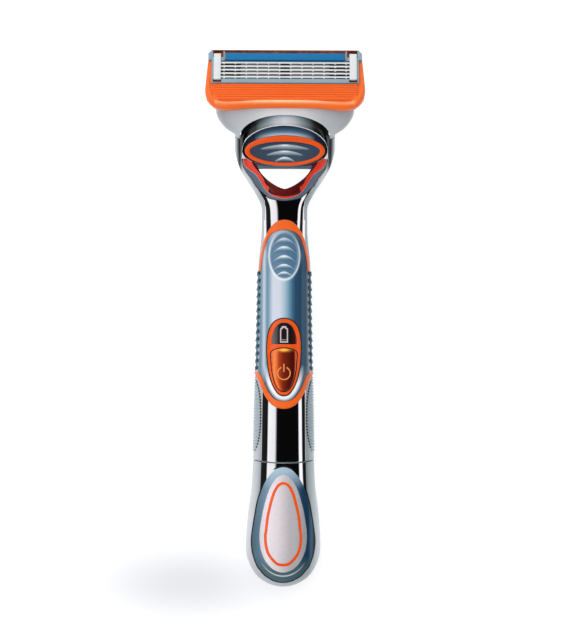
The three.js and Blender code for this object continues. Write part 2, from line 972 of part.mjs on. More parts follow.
// Where the serrated grips lie, beside the battery
function sideGripZones(by) {
  const top = seamY + sideGripStart + sideGripLength;
  const middle = (seamY + sideGripStart + top) / 2;
  const zone = (side) => {
    const points = [];
    for (let step = -4; step <= 4; step += 1) {
      const share = step / 4;
      const y = middle + (share * sideGripLength) / 2;
      const inner = halfWidthAt(y) - sideGripReach * (1 - share ** 4);
      points.push([side * (inner - by), y + by * share]);
    }
    points.push([side * wide, top + by], [side * wide, seamY + sideGripStart - by]);
    return solidOf(prism(shapeOf(points), backGripLow + fit + fit - by, tall));
  };
  return join(zone(1), zone(-1));
}

function sideGrip(side) {
  const skin = cut(
    bodyLoft(seamY + fit, gripEndY, level(-sideGripProud)),
    bodyLoft(seamY - overrun, gripEndY + overrun, level(faceSkin)),
  );
  const half = block([0, seamY, 0], [wide, gripEndY, tall]);
  const right = cut(common(skin, sideGripZones(0), half), serrations());
  return side > 0 ? right : right.mirror([1, 0, 0]);
}

// A comb that cuts the teeth of a side grip
function serrations() {
  const start = seamY + sideGripStart + toothSpacing;
  const count = Math.floor((sideGripLength - 2 * toothSpacing) / toothSpacing);
  const points = [];
  for (let tooth = 0; tooth < count; tooth += 1) {
    const y = start + tooth * toothSpacing;
    points.push([halfWidthAt(y) + sideGripProud + fit, y - toothSpacing / 2]);
    points.push([halfWidthAt(y) + sideGripProud - toothDepth, y]);
  }
  const end = start + (count - 1) * toothSpacing + toothSpacing / 2;
  points.push([halfWidthAt(end) + sideGripProud + fit, end]);
  points.push([wide, end], [wide, start - toothSpacing / 2]);
  return solidOf(prism(shapeOf(points), -overrun, tall));
}

function backGrip() {
  const skin = cut(
    bodyLoft(seamY, gripEndY, level(0)),
    bodyLoft(seamY - overrun, gripEndY + overrun, level(backSkin)),
  );
  const panel = common(skin, solidOf(profileBar(backGripShape(0), -wide, wide)));
  const ribs = [];
  const firstY = seamY + firstRibGap;
  for (let rib = 0; rib < ribCount; rib += 1) {
    const y = firstY + rib * ribSpacing;
    const x = halfWidthAt(y) + ribProud - ribRadius;
    [-x, x].forEach((place) => {
      const post = bar(ribRadius, backGripHigh - ribHeight, backGripHigh, "z", ribSides);
      ribs.push(solidOf(post.translate(place, y, 0)));
    });
  }
  return cut(join(panel, ...ribs), underFloor);
}

function frontGrip() {
  const top = bodyLoft(seamY, gripEndY + overrun, raised(panelSideRise, panelRise));
  const under = bodyLoft(seamY - overrun, gripEndY + overrun + overrun, raised(fit, fit));
  const panel = common(cut(top, under), solidOf(prism(panelShape, axisZ, tall)));
  const opening = solidOf(prism(grown(bezelShape, fit), 0, tall));
  const thumbTop = panelTopY - thumbTopGap;
  const thumbCentre = thumbTop - thumbLength / 2;
  const thumbShape = ellipseShape(thumbHalfWidth, thumbLength / 2, thumbCentre);
  const sunk = bodyLoft(seamY, gripEndY + overrun, raised(panelSideRise, panelRise - thumbDepth));
  const thumb = cut(solidOf(prism(thumbShape, axisZ, tall)), sunk);
  const ridges = thumbRidgeHalfShares.map((share, index) => {
    const place = thumbTop - thumbRidgeWidth - index * thumbRidgeSpacing;
    return crescent(share * thumbHalfWidth, place, thumbRidgeWidth, thumbRidgeBow, axisZ, tall);
  });
  const ridgeTop = bodyLoft(seamY, gripEndY + overrun, raised(panelSideRise, panelRise - thumbDepth + thumbRidgeRise));
  const raisedRidges = common(cut(ridgeTop, under), join(...ridges));
  return cut(join(cut(panel, thumb), raisedRidges), opening);
}

// A bowed ridge, thick in the middle and pointed at its ends
function crescent(half, top, width, bow, low, high) {
  const steps = 6;
  const upper = [];
  const lower = [];
  for (let step = -steps; step <= steps; step += 1) {
    const share = step / steps;
    const arch = 1 - share * share;
    upper.push([share * half, top - bow * (1 - arch)]);
    const thick = tipShare + (1 - tipShare) * arch;
    lower.push([share * half, top - bow * (1 - arch) - width * thick]);
  }
  return solidOf(prism(shapeOf([...lower, ...upper.reverse()]), low, high));
}

function gripRim(upper) {
  const top = bodyLoft(seamY, gripEndY + overrun, raised(rimSideRise, rimRise));
  const under = bodyLoft(seamY - overrun, gripEndY + overrun + overrun, raised(fit / 2, fit / 2));
  const band = cut(cut(top, under), solidOf(prism(grown(panelShape, fit / 2), 0, tall)));
  const zone = upper
    ? block([-wide, rimTopY - rimUpperLength, axisZ], [wide, rimTopY + overrun, tall])
    : block([-wide, rimBottomY - overrun, axisZ], [wide, rimBottomY + rimLowerLength, tall]);
  const ring = common(band, solidOf(prism(rimShape, axisZ, tall)), zone);
  return largest(ring);
}

// The main body of a cut that leaves slivers behind
function largest(solid) {
  const bodies = solid.decompose();
  return bodies.reduce((best, next) => (next.volume() > best.volume() ? next : best));
}

function switchBezel() {
  const top = bodyLoft(seamY, gripEndY, raised(panelSideRise, panelRise + bezelRise));
  const under = bodyLoft(seamY - overrun, gripEndY + overrun, raised(fit, fit));
  const plate = common(cut(top, under), solidOf(prism(bezelShape, axisZ, tall)));
  const openings = [windowShape, buttonShape].map((shape) => solidOf(prism(grown(shape, fit), 0, tall)));
  return cut(plate, ...openings);
}

function batteryWindow() {
  const top = bodyLoft(seamY, gripEndY, raised(panelSideRise, panelRise));
  const low = boardZ + boardThickness + lampHeight + runningGap;
  return common(top, solidOf(prism(windowShape, low, tall)));
}

function powerButton() {
  const top = bodyLoft(seamY, gripEndY, raised(panelSideRise, panelRise + buttonRise));
  const switchTop = boardZ + boardThickness + switchHeight + switchPlungerHeight;
  const plateLow = frontAt(switchY) - buttonSink;
  const plate = common(top, solidOf(prism(buttonShape, plateLow, tall)));
  const post = solidOf(bar(buttonPostRadius, switchTop + fit, plateLow + fit, "z", smallSides).translate(0, switchY, 0));
  return join(plate, post);
}

function circuitBoard() {
  const half = bayHalfWidth - fit;
  return block([-half, boardStartY, boardZ], [half, boardEndY, boardZ + boardThickness]);
}

function tactileSwitch() {
  const low = boardZ + boardThickness + fit / 3;
  const half = switchSize / 2;
  const body = block([-half, switchY - half, low], [half, switchY + half, low + switchHeight - fit / 3]);
  const well = solidOf(
    bar(switchPlungerRadius + fit, low + switchHeight - buttonTravel - fit, low + switchHeight + fit, "z", smallSides)
      .translate(0, switchY, 0),
  );
  return cut(body, well);
}

function switchPlunger() {
  const low = boardZ + boardThickness + switchHeight;
  const post = bar(switchPlungerRadius, low, low + switchPlungerHeight, "z", smallSides);
  return solidOf(post.translate(0, switchY, 0));
}

function indicatorLamp() {
  const y = boardStartY + lampPlaceShare * boardLength;
  const low = boardZ + boardThickness + fit / 3;
  return block([-lampWidth, y - lampLength / 2, low], [lampWidth, y + lampLength / 2, low + lampHeight - fit / 3]);
}

// Half shell that follows the inside of the body and carries the board, contact and motor
function innerChassis() {
  const outer = bodyLoft(bayStartY + fit, gripEndY - neckPlug - runningGap, level(cavityInset + chassisGap));
  const inner = bodyLoft(boardStartY - fit, gripEndY, level(cavityInset + chassisGap + chassisWall));
  const trough = common(
    cut(outer, inner),
    block([-wide, seamY, -tall], [wide, gripEndY, boardZ - runningGap]),
  );
  const clampRadius = motorRadius + chassisGap;
  const clamps = [motorStartY + clampInset, motorEndY - clampInset - clampLength].map((start) =>
    common(
      outer,
      block([-clampRadius - chassisWall, start, -tall], [clampRadius + chassisWall, start + clampLength, tall]),
    ),
  );
  const motorHole = solidOf(bar(clampRadius, boardEndY, gripEndY, "y").translate(0, 0, motorZ));
  const lower = block([-wide, seamY, -tall], [wide, gripEndY, motorZ + clampShare * motorRadius]);
  const carried = common(join(...clamps), lower);
  return cut(join(trough, carried), motorHole, frontContactBed());
}

const motorZ = (frontAt(motorEndY) + backAt(motorEndY)) / 2;
const neckPlug = 3;

function frontContactBed() {
  return axisBar(contactRadius + fit, bayStartY - overrun, bayStartY + fit);
}

function frontContact() {
  const end = bayStartY;
  const disc = axisBar(contactRadius, end - contactThickness, end, roundSides);
  const bump = axisBar(terminalDiameter / 2, end - contactThickness - contactThickness, end, smallSides);
  return join(disc, bump);
}

function motorCan() {
  const can = solidOf(bar(motorRadius, motorStartY, motorEndY - weightGap, "y").translate(0, 0, motorZ));
  const bush = solidOf(bar(motorRadius / 2, motorEndY - weightGap - fit, motorEndY, "y", smallSides).translate(0, 0, motorZ));
  const hole = solidOf(
    bar(shaftRadius + runningGap / 2, motorEndY - weightLength, motorEndY + overrun, "y", smallSides)
      .translate(0, 0, motorZ),
  );
  return cut(join(can, bush), hole);
}

function eccentricWeight() {
  const shaft = solidOf(bar(shaftRadius, motorEndY - weightLength + fit, weightEndY + fit, "y", smallSides).translate(0, 0, motorZ));
  const disc = solidOf(bar(weightRadius, weightStartY, weightEndY, "y").translate(0, 0, motorZ));
  const flat = block([-wide, weightStartY, motorZ], [wide, weightEndY, tall]);
  const hub = solidOf(bar(shaftRadius * 2, weightStartY, weightEndY, "y", smallSides).translate(0, 0, motorZ));
  return join(cut(disc, flat), hub, shaft);
}

function sealRing() {
  return axisTube(spigotRadius + fit / 3 + sealThickness, spigotRadius + fit / 3, seamY - sealLength - fit, seamY - fit);
}

function bayonetCollar() {
  const start = spigotEndY + lugLength + fit;
  return axisTube(collarOuter, collarInner, start, start + collarLength);
}

const padBottomY = seamY - padTopGap - padLength;
const padShape = smoothShape(outline(padShares, padHalfWidth, padBottomY, padLength));
const badgeBottomY = padBottomY + padLength - faceTopGap - faceLength;
const badgeShape = smoothShape(outline(badgeShares, faceHalfWidth, badgeBottomY, faceLength));
const lineBottomY = badgeBottomY + faceLength - lineTopGap - lineLength;
const lineShape = smoothShape(outline(badgeShares, lineHalfWidth, lineBottomY, lineLength));
const capTopY = seamY - fit;
const padLow = axisZ + padLift;

function endCap() {
  const shell = bodyLoft(tailEndY, capTopY, level(0));
  const socket = axisHole(socketRadius, spigotEndY - fit, capTopY + overrun);
  const bore = axisHole(boreRadius, batteryBottomY - fit, capTopY + overrun);
  const pocket = axisBar(springPocketRadius, batteryBottomY - springRoom, capTopY);
  const bed = cut(
    solidOf(prism(grown(padShape, fit), padLow, tall)),
    bodyLoft(tailEndY - overrun, capTopY + overrun, level(padDepth + fit)),
  );
  return cut(shell, socket, bore, pocket, bed, underFloor);
}

function capPad() {
  const skin = cut(
    bodyLoft(tailEndY - overrun, capTopY, level(-padRise)),
    bodyLoft(tailEndY - overrun - overrun, capTopY + overrun, level(padDepth)),
  );
  const pad = common(skin, solidOf(prism(padShape, padLow, tall)));
  return cut(pad, solidOf(prism(grown(badgeShape, fit / 2), 0, tall)));
}

function capBadge() {
  const skin = cut(
    bodyLoft(tailEndY - overrun, capTopY, level(-faceRise)),
    bodyLoft(tailEndY - overrun - overrun, capTopY + overrun, level(padDepth)),
  );
  const badge = common(skin, solidOf(prism(badgeShape, axisZ, tall)));
  return cut(badge, lineBand(fit / 3, lineDepth + fit));
}

// The groove of the teardrop line, or the line itself
function lineBand(by, depth) {
  const band = cut(
    solidOf(prism(grown(lineShape, by), axisZ, tall)),
    solidOf(prism(grown(lineShape, -lineWidth - by), 0, tall)),
  );
  return cut(band, bodyLoft(tailEndY - overrun, capTopY + overrun, level(depth - faceRise)));
}

function capLine() {
  return common(lineBand(0, lineDepth), bodyLoft(tailEndY - overrun, capTopY, level(-faceRise)));
}

function batterySpring() {
  const outer = springPocketRadius - springWire / 2 - fit;
  const inner = outer / 2;
  const start = batteryBottomY - springRoom + springWire / 2 + fit;
  const end = batteryBottomY - springWire / 2 - fit;
  return coil((share) => outer + (inner - outer) * share, springWire, springTurns, start, end, axisZ);
}

// The dock frame stands at the pivot, with Y along the dock and Z across it
const dockPlace = new THREE.Matrix4()
  .makeTranslation(0, pivotY, pivotZ)
  .multiply(new THREE.Matrix4().makeRotationX(dockSlope));
const inDock = (geometry) => solidOf(geometry.applyMatrix4(dockPlace));
const noseCentre = -noseTip - noseDepth;
const visorLow = noseTop - visorThickness;
const pocketFloor = noseTop - noseHeight + noseFloor;
const baseLow = visorLow - runningGap - basePlate;
const baseTop = visorLow - runningGap;
const chamberTop = baseLow - runningGap;
const dishCentre = -noseTip - dishBehindTip;
const dishTop = noseTop + dishRise;
const buttonHalf = noseHalfWidth - sideWall - runningGap;
const buttonFront = -noseTip - buttonFrontGap - dishCentre;
const buttonBack = skirtLength + runningGap;

// An egg about the dish: one length behind its middle and another ahead of it
function egg(halfWidth, back, front) {
  const points = [];
  for (let step = 0; step < outlinePoints; step += 1) {
    const angle = (2 * Math.PI * step) / outlinePoints;
    const length = Math.sin(angle) > 0 ? front : back;
    points.push([halfWidth * Math.cos(angle), dishCentre + length * Math.sin(angle)]);
  }
  return points;
}

// The room that an egg takes as it slides by the button's travel
function sweptEgg(halfWidth, back, front) {
  const ahead = egg(halfWidth, back, front).filter(([, y]) => y >= dishCentre);
  const behind = egg(halfWidth, back, front).filter(([, y]) => y < dishCentre);
  const foot = [
    [-halfWidth, dishCentre],
    ...behind,
    [halfWidth, dishCentre],
  ];
  return [...ahead.map(([x, y]) => [x, y + releaseTravel]), ...foot];
}

function eggLoft(rows) {
  return loft(
    rows.map(([halfWidth, back, front, height]) =>
      egg(halfWidth, back, front).map(([x, y]) => new THREE.Vector3(x, y, height)),
    ),
  );
}

function noseBlock(by) {
  const points = [[noseHalfWidth + by, noseCentre - noseTail]];
  const half = outlinePoints / 2;
  for (let step = 0; step <= half; step += 1) {
    const angle = (Math.PI * step) / half;
    points.push([(noseHalfWidth + by) * Math.cos(angle), noseCentre + (noseDepth + by) * Math.sin(angle)]);
  }
  points.push([-noseHalfWidth - by, noseCentre - noseTail]);
  return shapeOf(points);
}

function neckLoop() {
  const partingY = -yokeSkirt - runningGap;
  const ahead = [
    [-wide, partingY],
    [wide, partingY],
    [wide, partingY + tall],
    [-wide, partingY + tall],
  ];
  const front = inDock(prism(shapeOf(ahead), -tall, tall));
  const paddle = cut(bodyLoft(gripEndY + fit, dockY + overrun, level(0)), front);
  const plug = bodyLoft(gripEndY - neckPlug, gripEndY + overrun, level(cavityInset + chassisGap));
  const noseShape = noseBlock(-noseBevel);
  const noseGeometry = new THREE.ExtrudeGeometry(noseShape, {
    depth: noseHeight - 2 * noseBevel,
    bevelThickness: noseBevel,
    bevelSize: noseBevel,
    bevelSegments: 2,
  });
  noseGeometry.translate(0, 0, noseTop - noseHeight + noseBevel);
  const nose = inDock(noseGeometry);
  const pocketHalf = buttonHalf + runningGap;
  const pocketBack = buttonBack + runningGap;
  const pocketFront = buttonFront + runningGap;
  const pocket = inDock(prism(shapeOf(egg(pocketHalf, pocketBack, pocketFront)), chamberTop, tall));
  const run = inDock(prism(shapeOf(sweptEgg(pocketHalf, pocketBack, pocketFront)), chamberTop, visorLow));
  const dishRun = shoulderLength + runningGap;
  const slot = inDock(prism(shapeOf(sweptEgg(dishHalfWidth + fit + runningGap, dishRun, dishRun)), baseTop, tall));
  const chamberFront = -noseTip - chamberWall;
  const chamberBack = dishCentre - buttonBack + chamberBackGap;
  const chamberShape = shapeOf([
    [-chamberHalfWidth, chamberBack],
    [chamberHalfWidth, chamberBack],
    [chamberHalfWidth, chamberFront],
    [-chamberHalfWidth, chamberFront],
  ]);
  const chamber = inDock(prism(chamberShape, pocketFloor, chamberTop + fit));
  const plungerHole = inDock(
    bar(plungerRadius + fit, chamberFront - fit, overrun, "y").translate(0, 0, -plungerDrop),
  );
  const slots = [-1, 1].map((side) => {
    const half = prongWidth / 2 + runningGap;
    const x = side * prongSpacing;
    const shape = shapeOf([
      [x - half, chamberFront - fit],
      [x + half, chamberFront - fit],
      [x + half, overrun],
      [x - half, overrun],
    ]);
    return inDock(prism(shape, prongLow - runningGap, prongLow + prongHeight + runningGap));
  });
  const bed = cut(
    solidOf(prism(grown(linerShape(), fit), linerLow - fit, tall)),
    bodyLoft(gripEndY - overrun, dockY + overrun, level(linerDepth + fit)),
  );
  const trimBed = cut(
    solidOf(prism(grown(trimShape(), fit), linerLow - fit, tall)),
    bodyLoft(gripEndY - overrun, dockY + overrun, level(trimDepth + fit)),
  );
  const hole = solidOf(prism(holeShape(0), -tall, tall));
  const solid = join(paddle, plug, nose);
  return cut(solid, pocket, run, slot, chamber, plungerHole, ...slots, bed, trimBed, hole);
}

const holeTopY = dockY - holeTopGap;
const linerBottomY = holeTopY - holeDepth - linerTail;
const linerLow = axisZ + linerLift;
const prongLow = pocketFloor + prongLift;

// The see-through opening: straight across the top and pointed below
function holeShape(by) {
  const steps = 16;
  const points = [];
  for (let step = 0; step <= steps; step += 1) {
    const angle = (Math.PI * step) / steps;
    const across = Math.sign(Math.cos(angle)) * Math.abs(Math.cos(angle)) ** (2 / holeExponent);
    const down = Math.abs(Math.sin(angle)) ** (2 / holeExponent);
    points.push([(holeHalfWidth + by) * across, holeTopY + by - (holeDepth + 2 * by) * down]);
  }
  return shapeOf(points);
}

function linerShape() {
  return shapeOf(outline(linerShares, linerHalfWidth, linerBottomY, linerLength));
}

function trimShape() {
  return shapeOf(outline(trimShares, linerHalfWidth, linerBottomY + trimRaise, linerLength));
}

function pocketClear() {
  const more = runningGap + outlineOverrun;
  const shape = shapeOf(egg(buttonHalf + more, buttonBack + more, buttonFront + more));
  return inDock(prism(shape, chamberTop, tall));
}

function loopLiner() {
  const skin = cut(
    bodyLoft(gripEndY, dockY, level(0)),
    bodyLoft(gripEndY - overrun, dockY + overrun, level(linerDepth)),
  );
  const plate = common(skin, solidOf(prism(linerShape(), linerLow, tall)));
  const around = solidOf(prism(grown(trimShape(), fit), 0, tall));
  return largest(cut(plate, around, pocketClear(), solidOf(prism(holeShape(fit), 0, tall))));
}

function loopTrim() {
  const skin = cut(
    bodyLoft(gripEndY, dockY, level(-trimProud)),
    bodyLoft(gripEndY - overrun, dockY + overrun, level(trimDepth)),
  );
  const plate = common(skin, solidOf(prism(trimShape(), linerLow, tall)));
  return largest(cut(plate, pocketClear(), solidOf(prism(holeShape(0), 0, tall))));
}

// The pieces below are drawn in the dock frame
function releaseButton() {
  const base = solidOf(prism(shapeOf(egg(buttonHalf, buttonBack, buttonFront)), baseLow, baseTop));
  const dishShape = (by) => shapeOf(egg(dishHalfWidth + by, dishHalfLength + by, dishHalfLength + by));
  const dome = eggLoft([
    [buttonHalf - fit, skirtLength, slopeLength, baseTop - fit],
    [buttonHalf - fit, skirtLength, slopeFoot, baseTop + slopeRise],
    [dishHalfWidth + fit, shoulderLength, shoulderLength, noseTop - shoulderDrop],
    [dishHalfWidth, dishHalfLength, dishHalfLength, noseTop],
    [dishHalfWidth - dishRise / 2, dishHalfLength - dishRise / 2, dishHalfLength - dishRise / 2, dishTop],
  ]);
  const ringBed = cut(
    solidOf(prism(dishShape(overrun), dishTop - dishSink, dishTop + overrun)),
    solidOf(prism(dishShape(-dishWidth - fit / 2), dishTop - dishSink - overrun, dishTop + overrun)),
  );
  const dish = solidOf(prism(dishShape(-dishWidth - fit / 2), dishTop - dishSink, dishTop + overrun));
  const ridges = dishRidgeShares.map(([half, place]) =>
    crescent(
      half * dishHalfWidth,
      dishCentre + place * dishHalfLength + dishRidgeWidth / 2,
      dishRidgeWidth,
      dishRidgeBow,
      dishTop - dishSink - fit,
      dishTop - dishSink + dishRidgeRise,
    ),
  );
  return join(cut(join(base, dome), ringBed, dish), ...ridges);
}

function buttonRing() {
  const row = (by, height) => [dishHalfWidth + by, dishHalfLength + by, dishHalfLength + by, height];
  const outer = eggLoft([
    row(-fit, dishTop - dishSink + fit),
    row(-fit, dishTop - fit / 2),
    row(-dishWidth / 3, dishTop + fit),
  ]);
  const inner = dishHalfLength - dishWidth;
  return cut(outer, solidOf(prism(shapeOf(egg(dishHalfWidth - dishWidth, inner, inner)), -tall, tall)));
}

function ejector() {
  const top = chamberTop - fit / 2 + runningGap / 2;
  const plateLow = top - ejectorPlate;
  const front = -noseTip - chamberWall - runningGap;
  const back = dishCentre - buttonBack + chamberBackGap + runningGap;
  const half = prongSpacing + prongWidth / 2;
  const abutment = front - plungerCollar - plungerSpringLength - 2 * runningGap;
  const plate = block([-half, back, plateLow], [half, abutment, top]);
  const prongs = [-1, 1].map((side) => {
    const x = side * prongSpacing;
    const low = [x - prongWidth / 2, abutment - overrun, prongLow];
    return block(low, [x + prongWidth / 2, prongTip, prongLow + prongHeight]);
  });
  const stop = block(
    [-abutmentHalfWidth, abutment - abutmentThickness, pocketFloor + runningGap],
    [abutmentHalfWidth, abutment, top],
  );
  return join(plate, ...prongs, stop);
}

const prongArc = Math.sqrt(1 - (prongSpacing / noseHalfWidth) ** 2);
const prongTip = noseCentre + noseDepth * prongArc - releaseTravel - runningGap;

function plunger() {
  const front = -noseTip - chamberWall - runningGap;
  const rod = bar(plungerRadius, front - plungerCollar / 2, plungerReach, "y");
  const collar = bar(collarRadius, front - plungerCollar, front, "y");
  const stem = bar(plungerStemRadius, front - plungerCollar - plungerStemLength, front - fit, "y", smallSides);
  return join(...[rod, collar, stem].map((geometry) => solidOf(geometry.translate(0, 0, -plungerDrop))));
}

function plungerSpring() {
  const end = -noseTip - chamberWall - runningGap - plungerCollar - fit - plungerSpringWire / 2;
  const start = end - plungerSpringLength + plungerSpringWire;
  return coil(() => plungerSpringRadius, plungerSpringWire, plungerSpringTurns, start, end, -plungerDrop);
}

function connectorYoke() {
  const length = yokeSkirt + yokeLead;
  const low = noseTop - noseHeight - yokeBackWall - fit;
  const middle = (noseTop + low) / 2;
  const height = (noseTop - low) / 2;
  const rings = yokeShares.map(([along, share]) => {
    const half = loopHalfWidth + share * (yokeHalfWidth - loopHalfWidth);
    const y = -yokeSkirt + along * length;
    const ring = [];
    for (let step = 0; step < sectionPoints; step += 1) {
      const angle = (2 * Math.PI * step) / sectionPoints;
      ring.push(new THREE.Vector3(half * bent(Math.cos(angle)), y, middle + height * bent(Math.sin(angle))));
    }
    return ring;
  });
  const shell = loft(rings);
  const socket = solidOf(prism(noseBlock(fit), noseTop - noseHeight - fit, tall));
  const nearCut = shapeOf([
    [yokeNearCut + tall, -tall],
    [yokeNearCut - tall, tall],
    [yokeNearCut + tall, tall],
  ]);
  const faceCut = solidOf(profileBar(nearCut, -wide, wide));
  const camOpening = block([-lugOpeningHalfWidth, -noseTip - overrun, -tall / 2], [lugOpeningHalfWidth, tall, lugOpeningTop]);
  const body = cut(shell, socket, faceCut, camOpening);
  const bosses = [-1, 1].map((side) => {
    const inner = side > 0 ? yokeHalfWidth - bossWidth : -yokeHalfWidth;
    const boss = solidOf(bar(bossRadius, inner, inner + bossWidth, "x"));
    const start = side > 0 ? yokeHalfWidth - fit : -yokeHalfWidth - trunnionLength;
    const pin = solidOf(bar(trunnionRadius, start, start + trunnionLength + fit, "x"));
    return join(boss, pin);
  });
  return join(body, ...bosses);
}

// The pieces below are drawn in the cartridge frame
function cartridgeFrame() {
  const outlineShape = shapeOf([
    [-frameHalfWidth, frameBottomU],
    [frameHalfWidth, frameBottomU],
    [frameHalfWidth, frameTopU - earLength],
    [frameHalfWidth + frameEar, frameTopU - earLength],
    [frameHalfWidth + frameEar, frameTopU - frameChamfer],
    [frameHalfWidth, frameTopU],
    [-frameHalfWidth, frameTopU],
    [-frameHalfWidth - frameEar, frameTopU - frameChamfer],
    [-frameHalfWidth - frameEar, frameTopU - earLength],
    [-frameHalfWidth, frameTopU - earLength],
  ]);
  const tray = solidOf(prism(outlineShape, frameBack, frameFront));
  const windowHalf = bladeHalfLength + bladeEndGap;
  const bladeWindow = block(
    [-windowHalf, windowBottomU, frameBack + ledgeThickness],
    [windowHalf, windowTopU, tall],
  );
  const rinseWindow = block(
    [-windowHalf + ledgeWidth, windowBottomU, -tall],
    [windowHalf - ledgeWidth, windowTopU, tall],
  );
  const stripBed = block(
    [-stripHalfLength - fit, stripBottomU - fit, frameFront - stripDepth - fit],
    [stripHalfLength + fit, stripTopU + fit, tall],
  );
  const slots = clipPlaces().flatMap((x) => [
    block([x - fit, clipBottomU - fit, -tall], [x + clipWidth + fit, clipBottomU + clipSheet + fit, tall]),
    block([x - fit, clipTopU - clipSheet - fit, -tall], [x + clipWidth + fit, clipTopU + fit, tall]),
  ]);
  const ears = [-1, 1].map((side) => pivotEar(side));
  const posts = [-1, 1].map((side) => {
    const x = side * (trimmerHalfLength + fit + trimmerPostWidth / 2);
    const low = [x - trimmerPostWidth / 2, frameTopU - trimmerWidth, frameBack - trimmerPostHeight];
    return block(low, [x + trimmerPostWidth / 2, frameTopU, frameBack + fit]);
  });
  return join(cut(tray, bladeWindow, rinseWindow, stripBed, ...slots), ...ears, ...posts, camLug());
}

function clipPlaces() {
  return [clipInnerX, -clipInnerX - clipWidth];
}

// A plate beside the yoke's arm, with the hole that its trunnion turns in
function pivotEar(side) {
  const inner = side > 0 ? earInnerX : -earInnerX - earPlate;
  const footLow = frameBack - clipSheet - fit - runningGap;
  const footEnd = clipBottomU + clipFold + runningGap;
  const web = shapeOf([
    [0, -earRadius],
    [footEnd, footLow - earPlate],
    [footEnd + earPlate, footLow],
    [footEnd + earPlate, frameBack + fit],
    [footEnd, frameBack + fit],
    [footEnd, footLow],
    [0, earRadius - fit],
  ]);
  const plate = solidOf(profileBar(web, inner, inner + earPlate));
  const round = solidOf(bar(earRadius, inner, inner + earPlate, "x"));
  const hole = solidOf(bar(trunnionRadius + fit, inner - overrun, inner + earPlate + overrun, "x"));
  return cut(join(plate, round), hole);
}

// The lug on the back of the frame that the plunger presses
function camLug() {
  const turn = dockSlope + faceSlope;
  const lugAhead = plungerReach + runningGap + lugNoseRadius;
  const noseU = lugAhead * Math.cos(turn) + plungerDrop * Math.sin(turn);
  const noseW = lugAhead * Math.sin(turn) - plungerDrop * Math.cos(turn);
  const round = solidOf(bar(lugNoseRadius, -camHalfWidth, camHalfWidth, "x", smallSides).translate(0, noseU, noseW));
  const web = shapeOf([
    [noseU - lugNoseRadius, noseW],
    [noseU + lugNoseRadius, noseW],
    [windowBottomU - fit, frameBack + fit],
    [frameBottomU + fit, frameBack + fit],
  ]);
  return join(round, solidOf(profileBar(web, -camHalfWidth, camHalfWidth)));
}

// A blade on its bent support, leaning its edge towards the guard
function blade(index) {
  const u = firstBladeU + index * bladeSpacing;
  const edge = u - bladeWidth / 2;
  const heel = u + bladeWidth / 2;
  const shape = shapeOf([
    [edge, bladeTop],
    [edge + bladeSheet / 2, bladeTop - bladeSheet],
    [heel - bladeSheet, bladeTop - bladeLean - bladeSheet],
    [heel - bladeSheet, bladeTop - bladeLeg],
    [heel, bladeTop - bladeLeg],
    [heel, bladeTop - bladeLean],
  ]);
  return solidOf(profileBar(shape, -bladeHalfLength, bladeHalfLength));
}

function lubricatingStrip() {
  const top = frameFront + stripProud;
  const shape = shapeOf([
    [stripBottomU, frameFront - stripDepth],
    [stripTopU, frameFront - stripDepth],
    [stripTopU, top - stripProud],
    [stripTopU - stripProud, top],
    [stripBottomU + stripProud, top],
    [stripBottomU, top - stripProud],
  ]);
  return solidOf(profileBar(shape, -stripHalfLength, stripHalfLength));
}

function trimmerBlade() {
  const top = frameBack - fit;
  const edge = frameTopU - trimmerEdgeGap;
  const shape = shapeOf([
    [edge - trimmerWidth, top - trimmerSheet],
    [edge - trimmerSheet, top - trimmerSheet],
    [edge, top],
    [edge - trimmerWidth, top],
  ]);
  return solidOf(profileBar(shape, -trimmerHalfLength, trimmerHalfLength));
}

function clip(side) {
  const x = side > 0 ? clipInnerX : -clipInnerX - clipWidth;
  const low = frameBack - clipSheet - fit;
  const top = frameFront + clipRise + clipSheet;
  const under = frameBack - fit;
  const shape = shapeOf([
    [clipBottomU, low],
    [clipBottomU + clipFold, low],
    [clipBottomU + clipFold, under],
    [clipBottomU + clipSheet, under],
    [clipBottomU + clipSheet, top - clipSheet],
    [clipTopU - clipSheet, top - clipSheet],
    [clipTopU - clipSheet, under],
    [clipTopU - clipFold, under],
    [clipTopU - clipFold, low],
    [clipTopU, low],
    [clipTopU, top],
    [clipBottomU, top],
  ]);
  return solidOf(profileBar(shape, x, x + clipWidth));
}

// The guard: fins below the blades, a rolled lip and an arm up each side
function elastomerGuard() {
  const sections = [...guardLipShares].reverse().map(([share, drop]) => [-share, drop]);
  const stations = [...sections.slice(0, -1), ...guardLipShares];
  const rings = stations.map(([share, drop]) => guardSection(share * guardHalfWidth, drop));
  const body = loft(rings);
  const arms = [-1, 1].map((side) => {
    const outerX = side * (guardHalfWidth - guardArmWidth / 3);
    const innerX = side * (frameHalfWidth + fit);
    const points = [
      [innerX, guardFrontU - guardArmWidth],
      [outerX, guardFrontU - guardArmWidth],
      [outerX - (side * guardArmWidth) / 3, guardArmTopU - guardArmWidth],
      [outerX - (side * guardArmWidth) / 2, guardArmTopU],
      [innerX, guardArmTopU],
    ];
    return solidOf(prism(shapeOf(points), guardBack, guardArmTop));
  });
  const grooves = [];
  for (let fin = 0; fin < finCount; fin += 1) {
    const top = guardFrontU - firstFinGap - fin * finSpacing;
    const share = fin / (finCount - 1);
    const half = finHalfWidth + (finLowerHalfWidth - finHalfWidth) * share ** 3;
    const floor = guardTop - finDepth - lipSag * share;
    grooves.push(block([-half, top - finGroove, floor], [half, top, tall]));
  }
  return cut(join(body, ...arms), ...grooves);
}

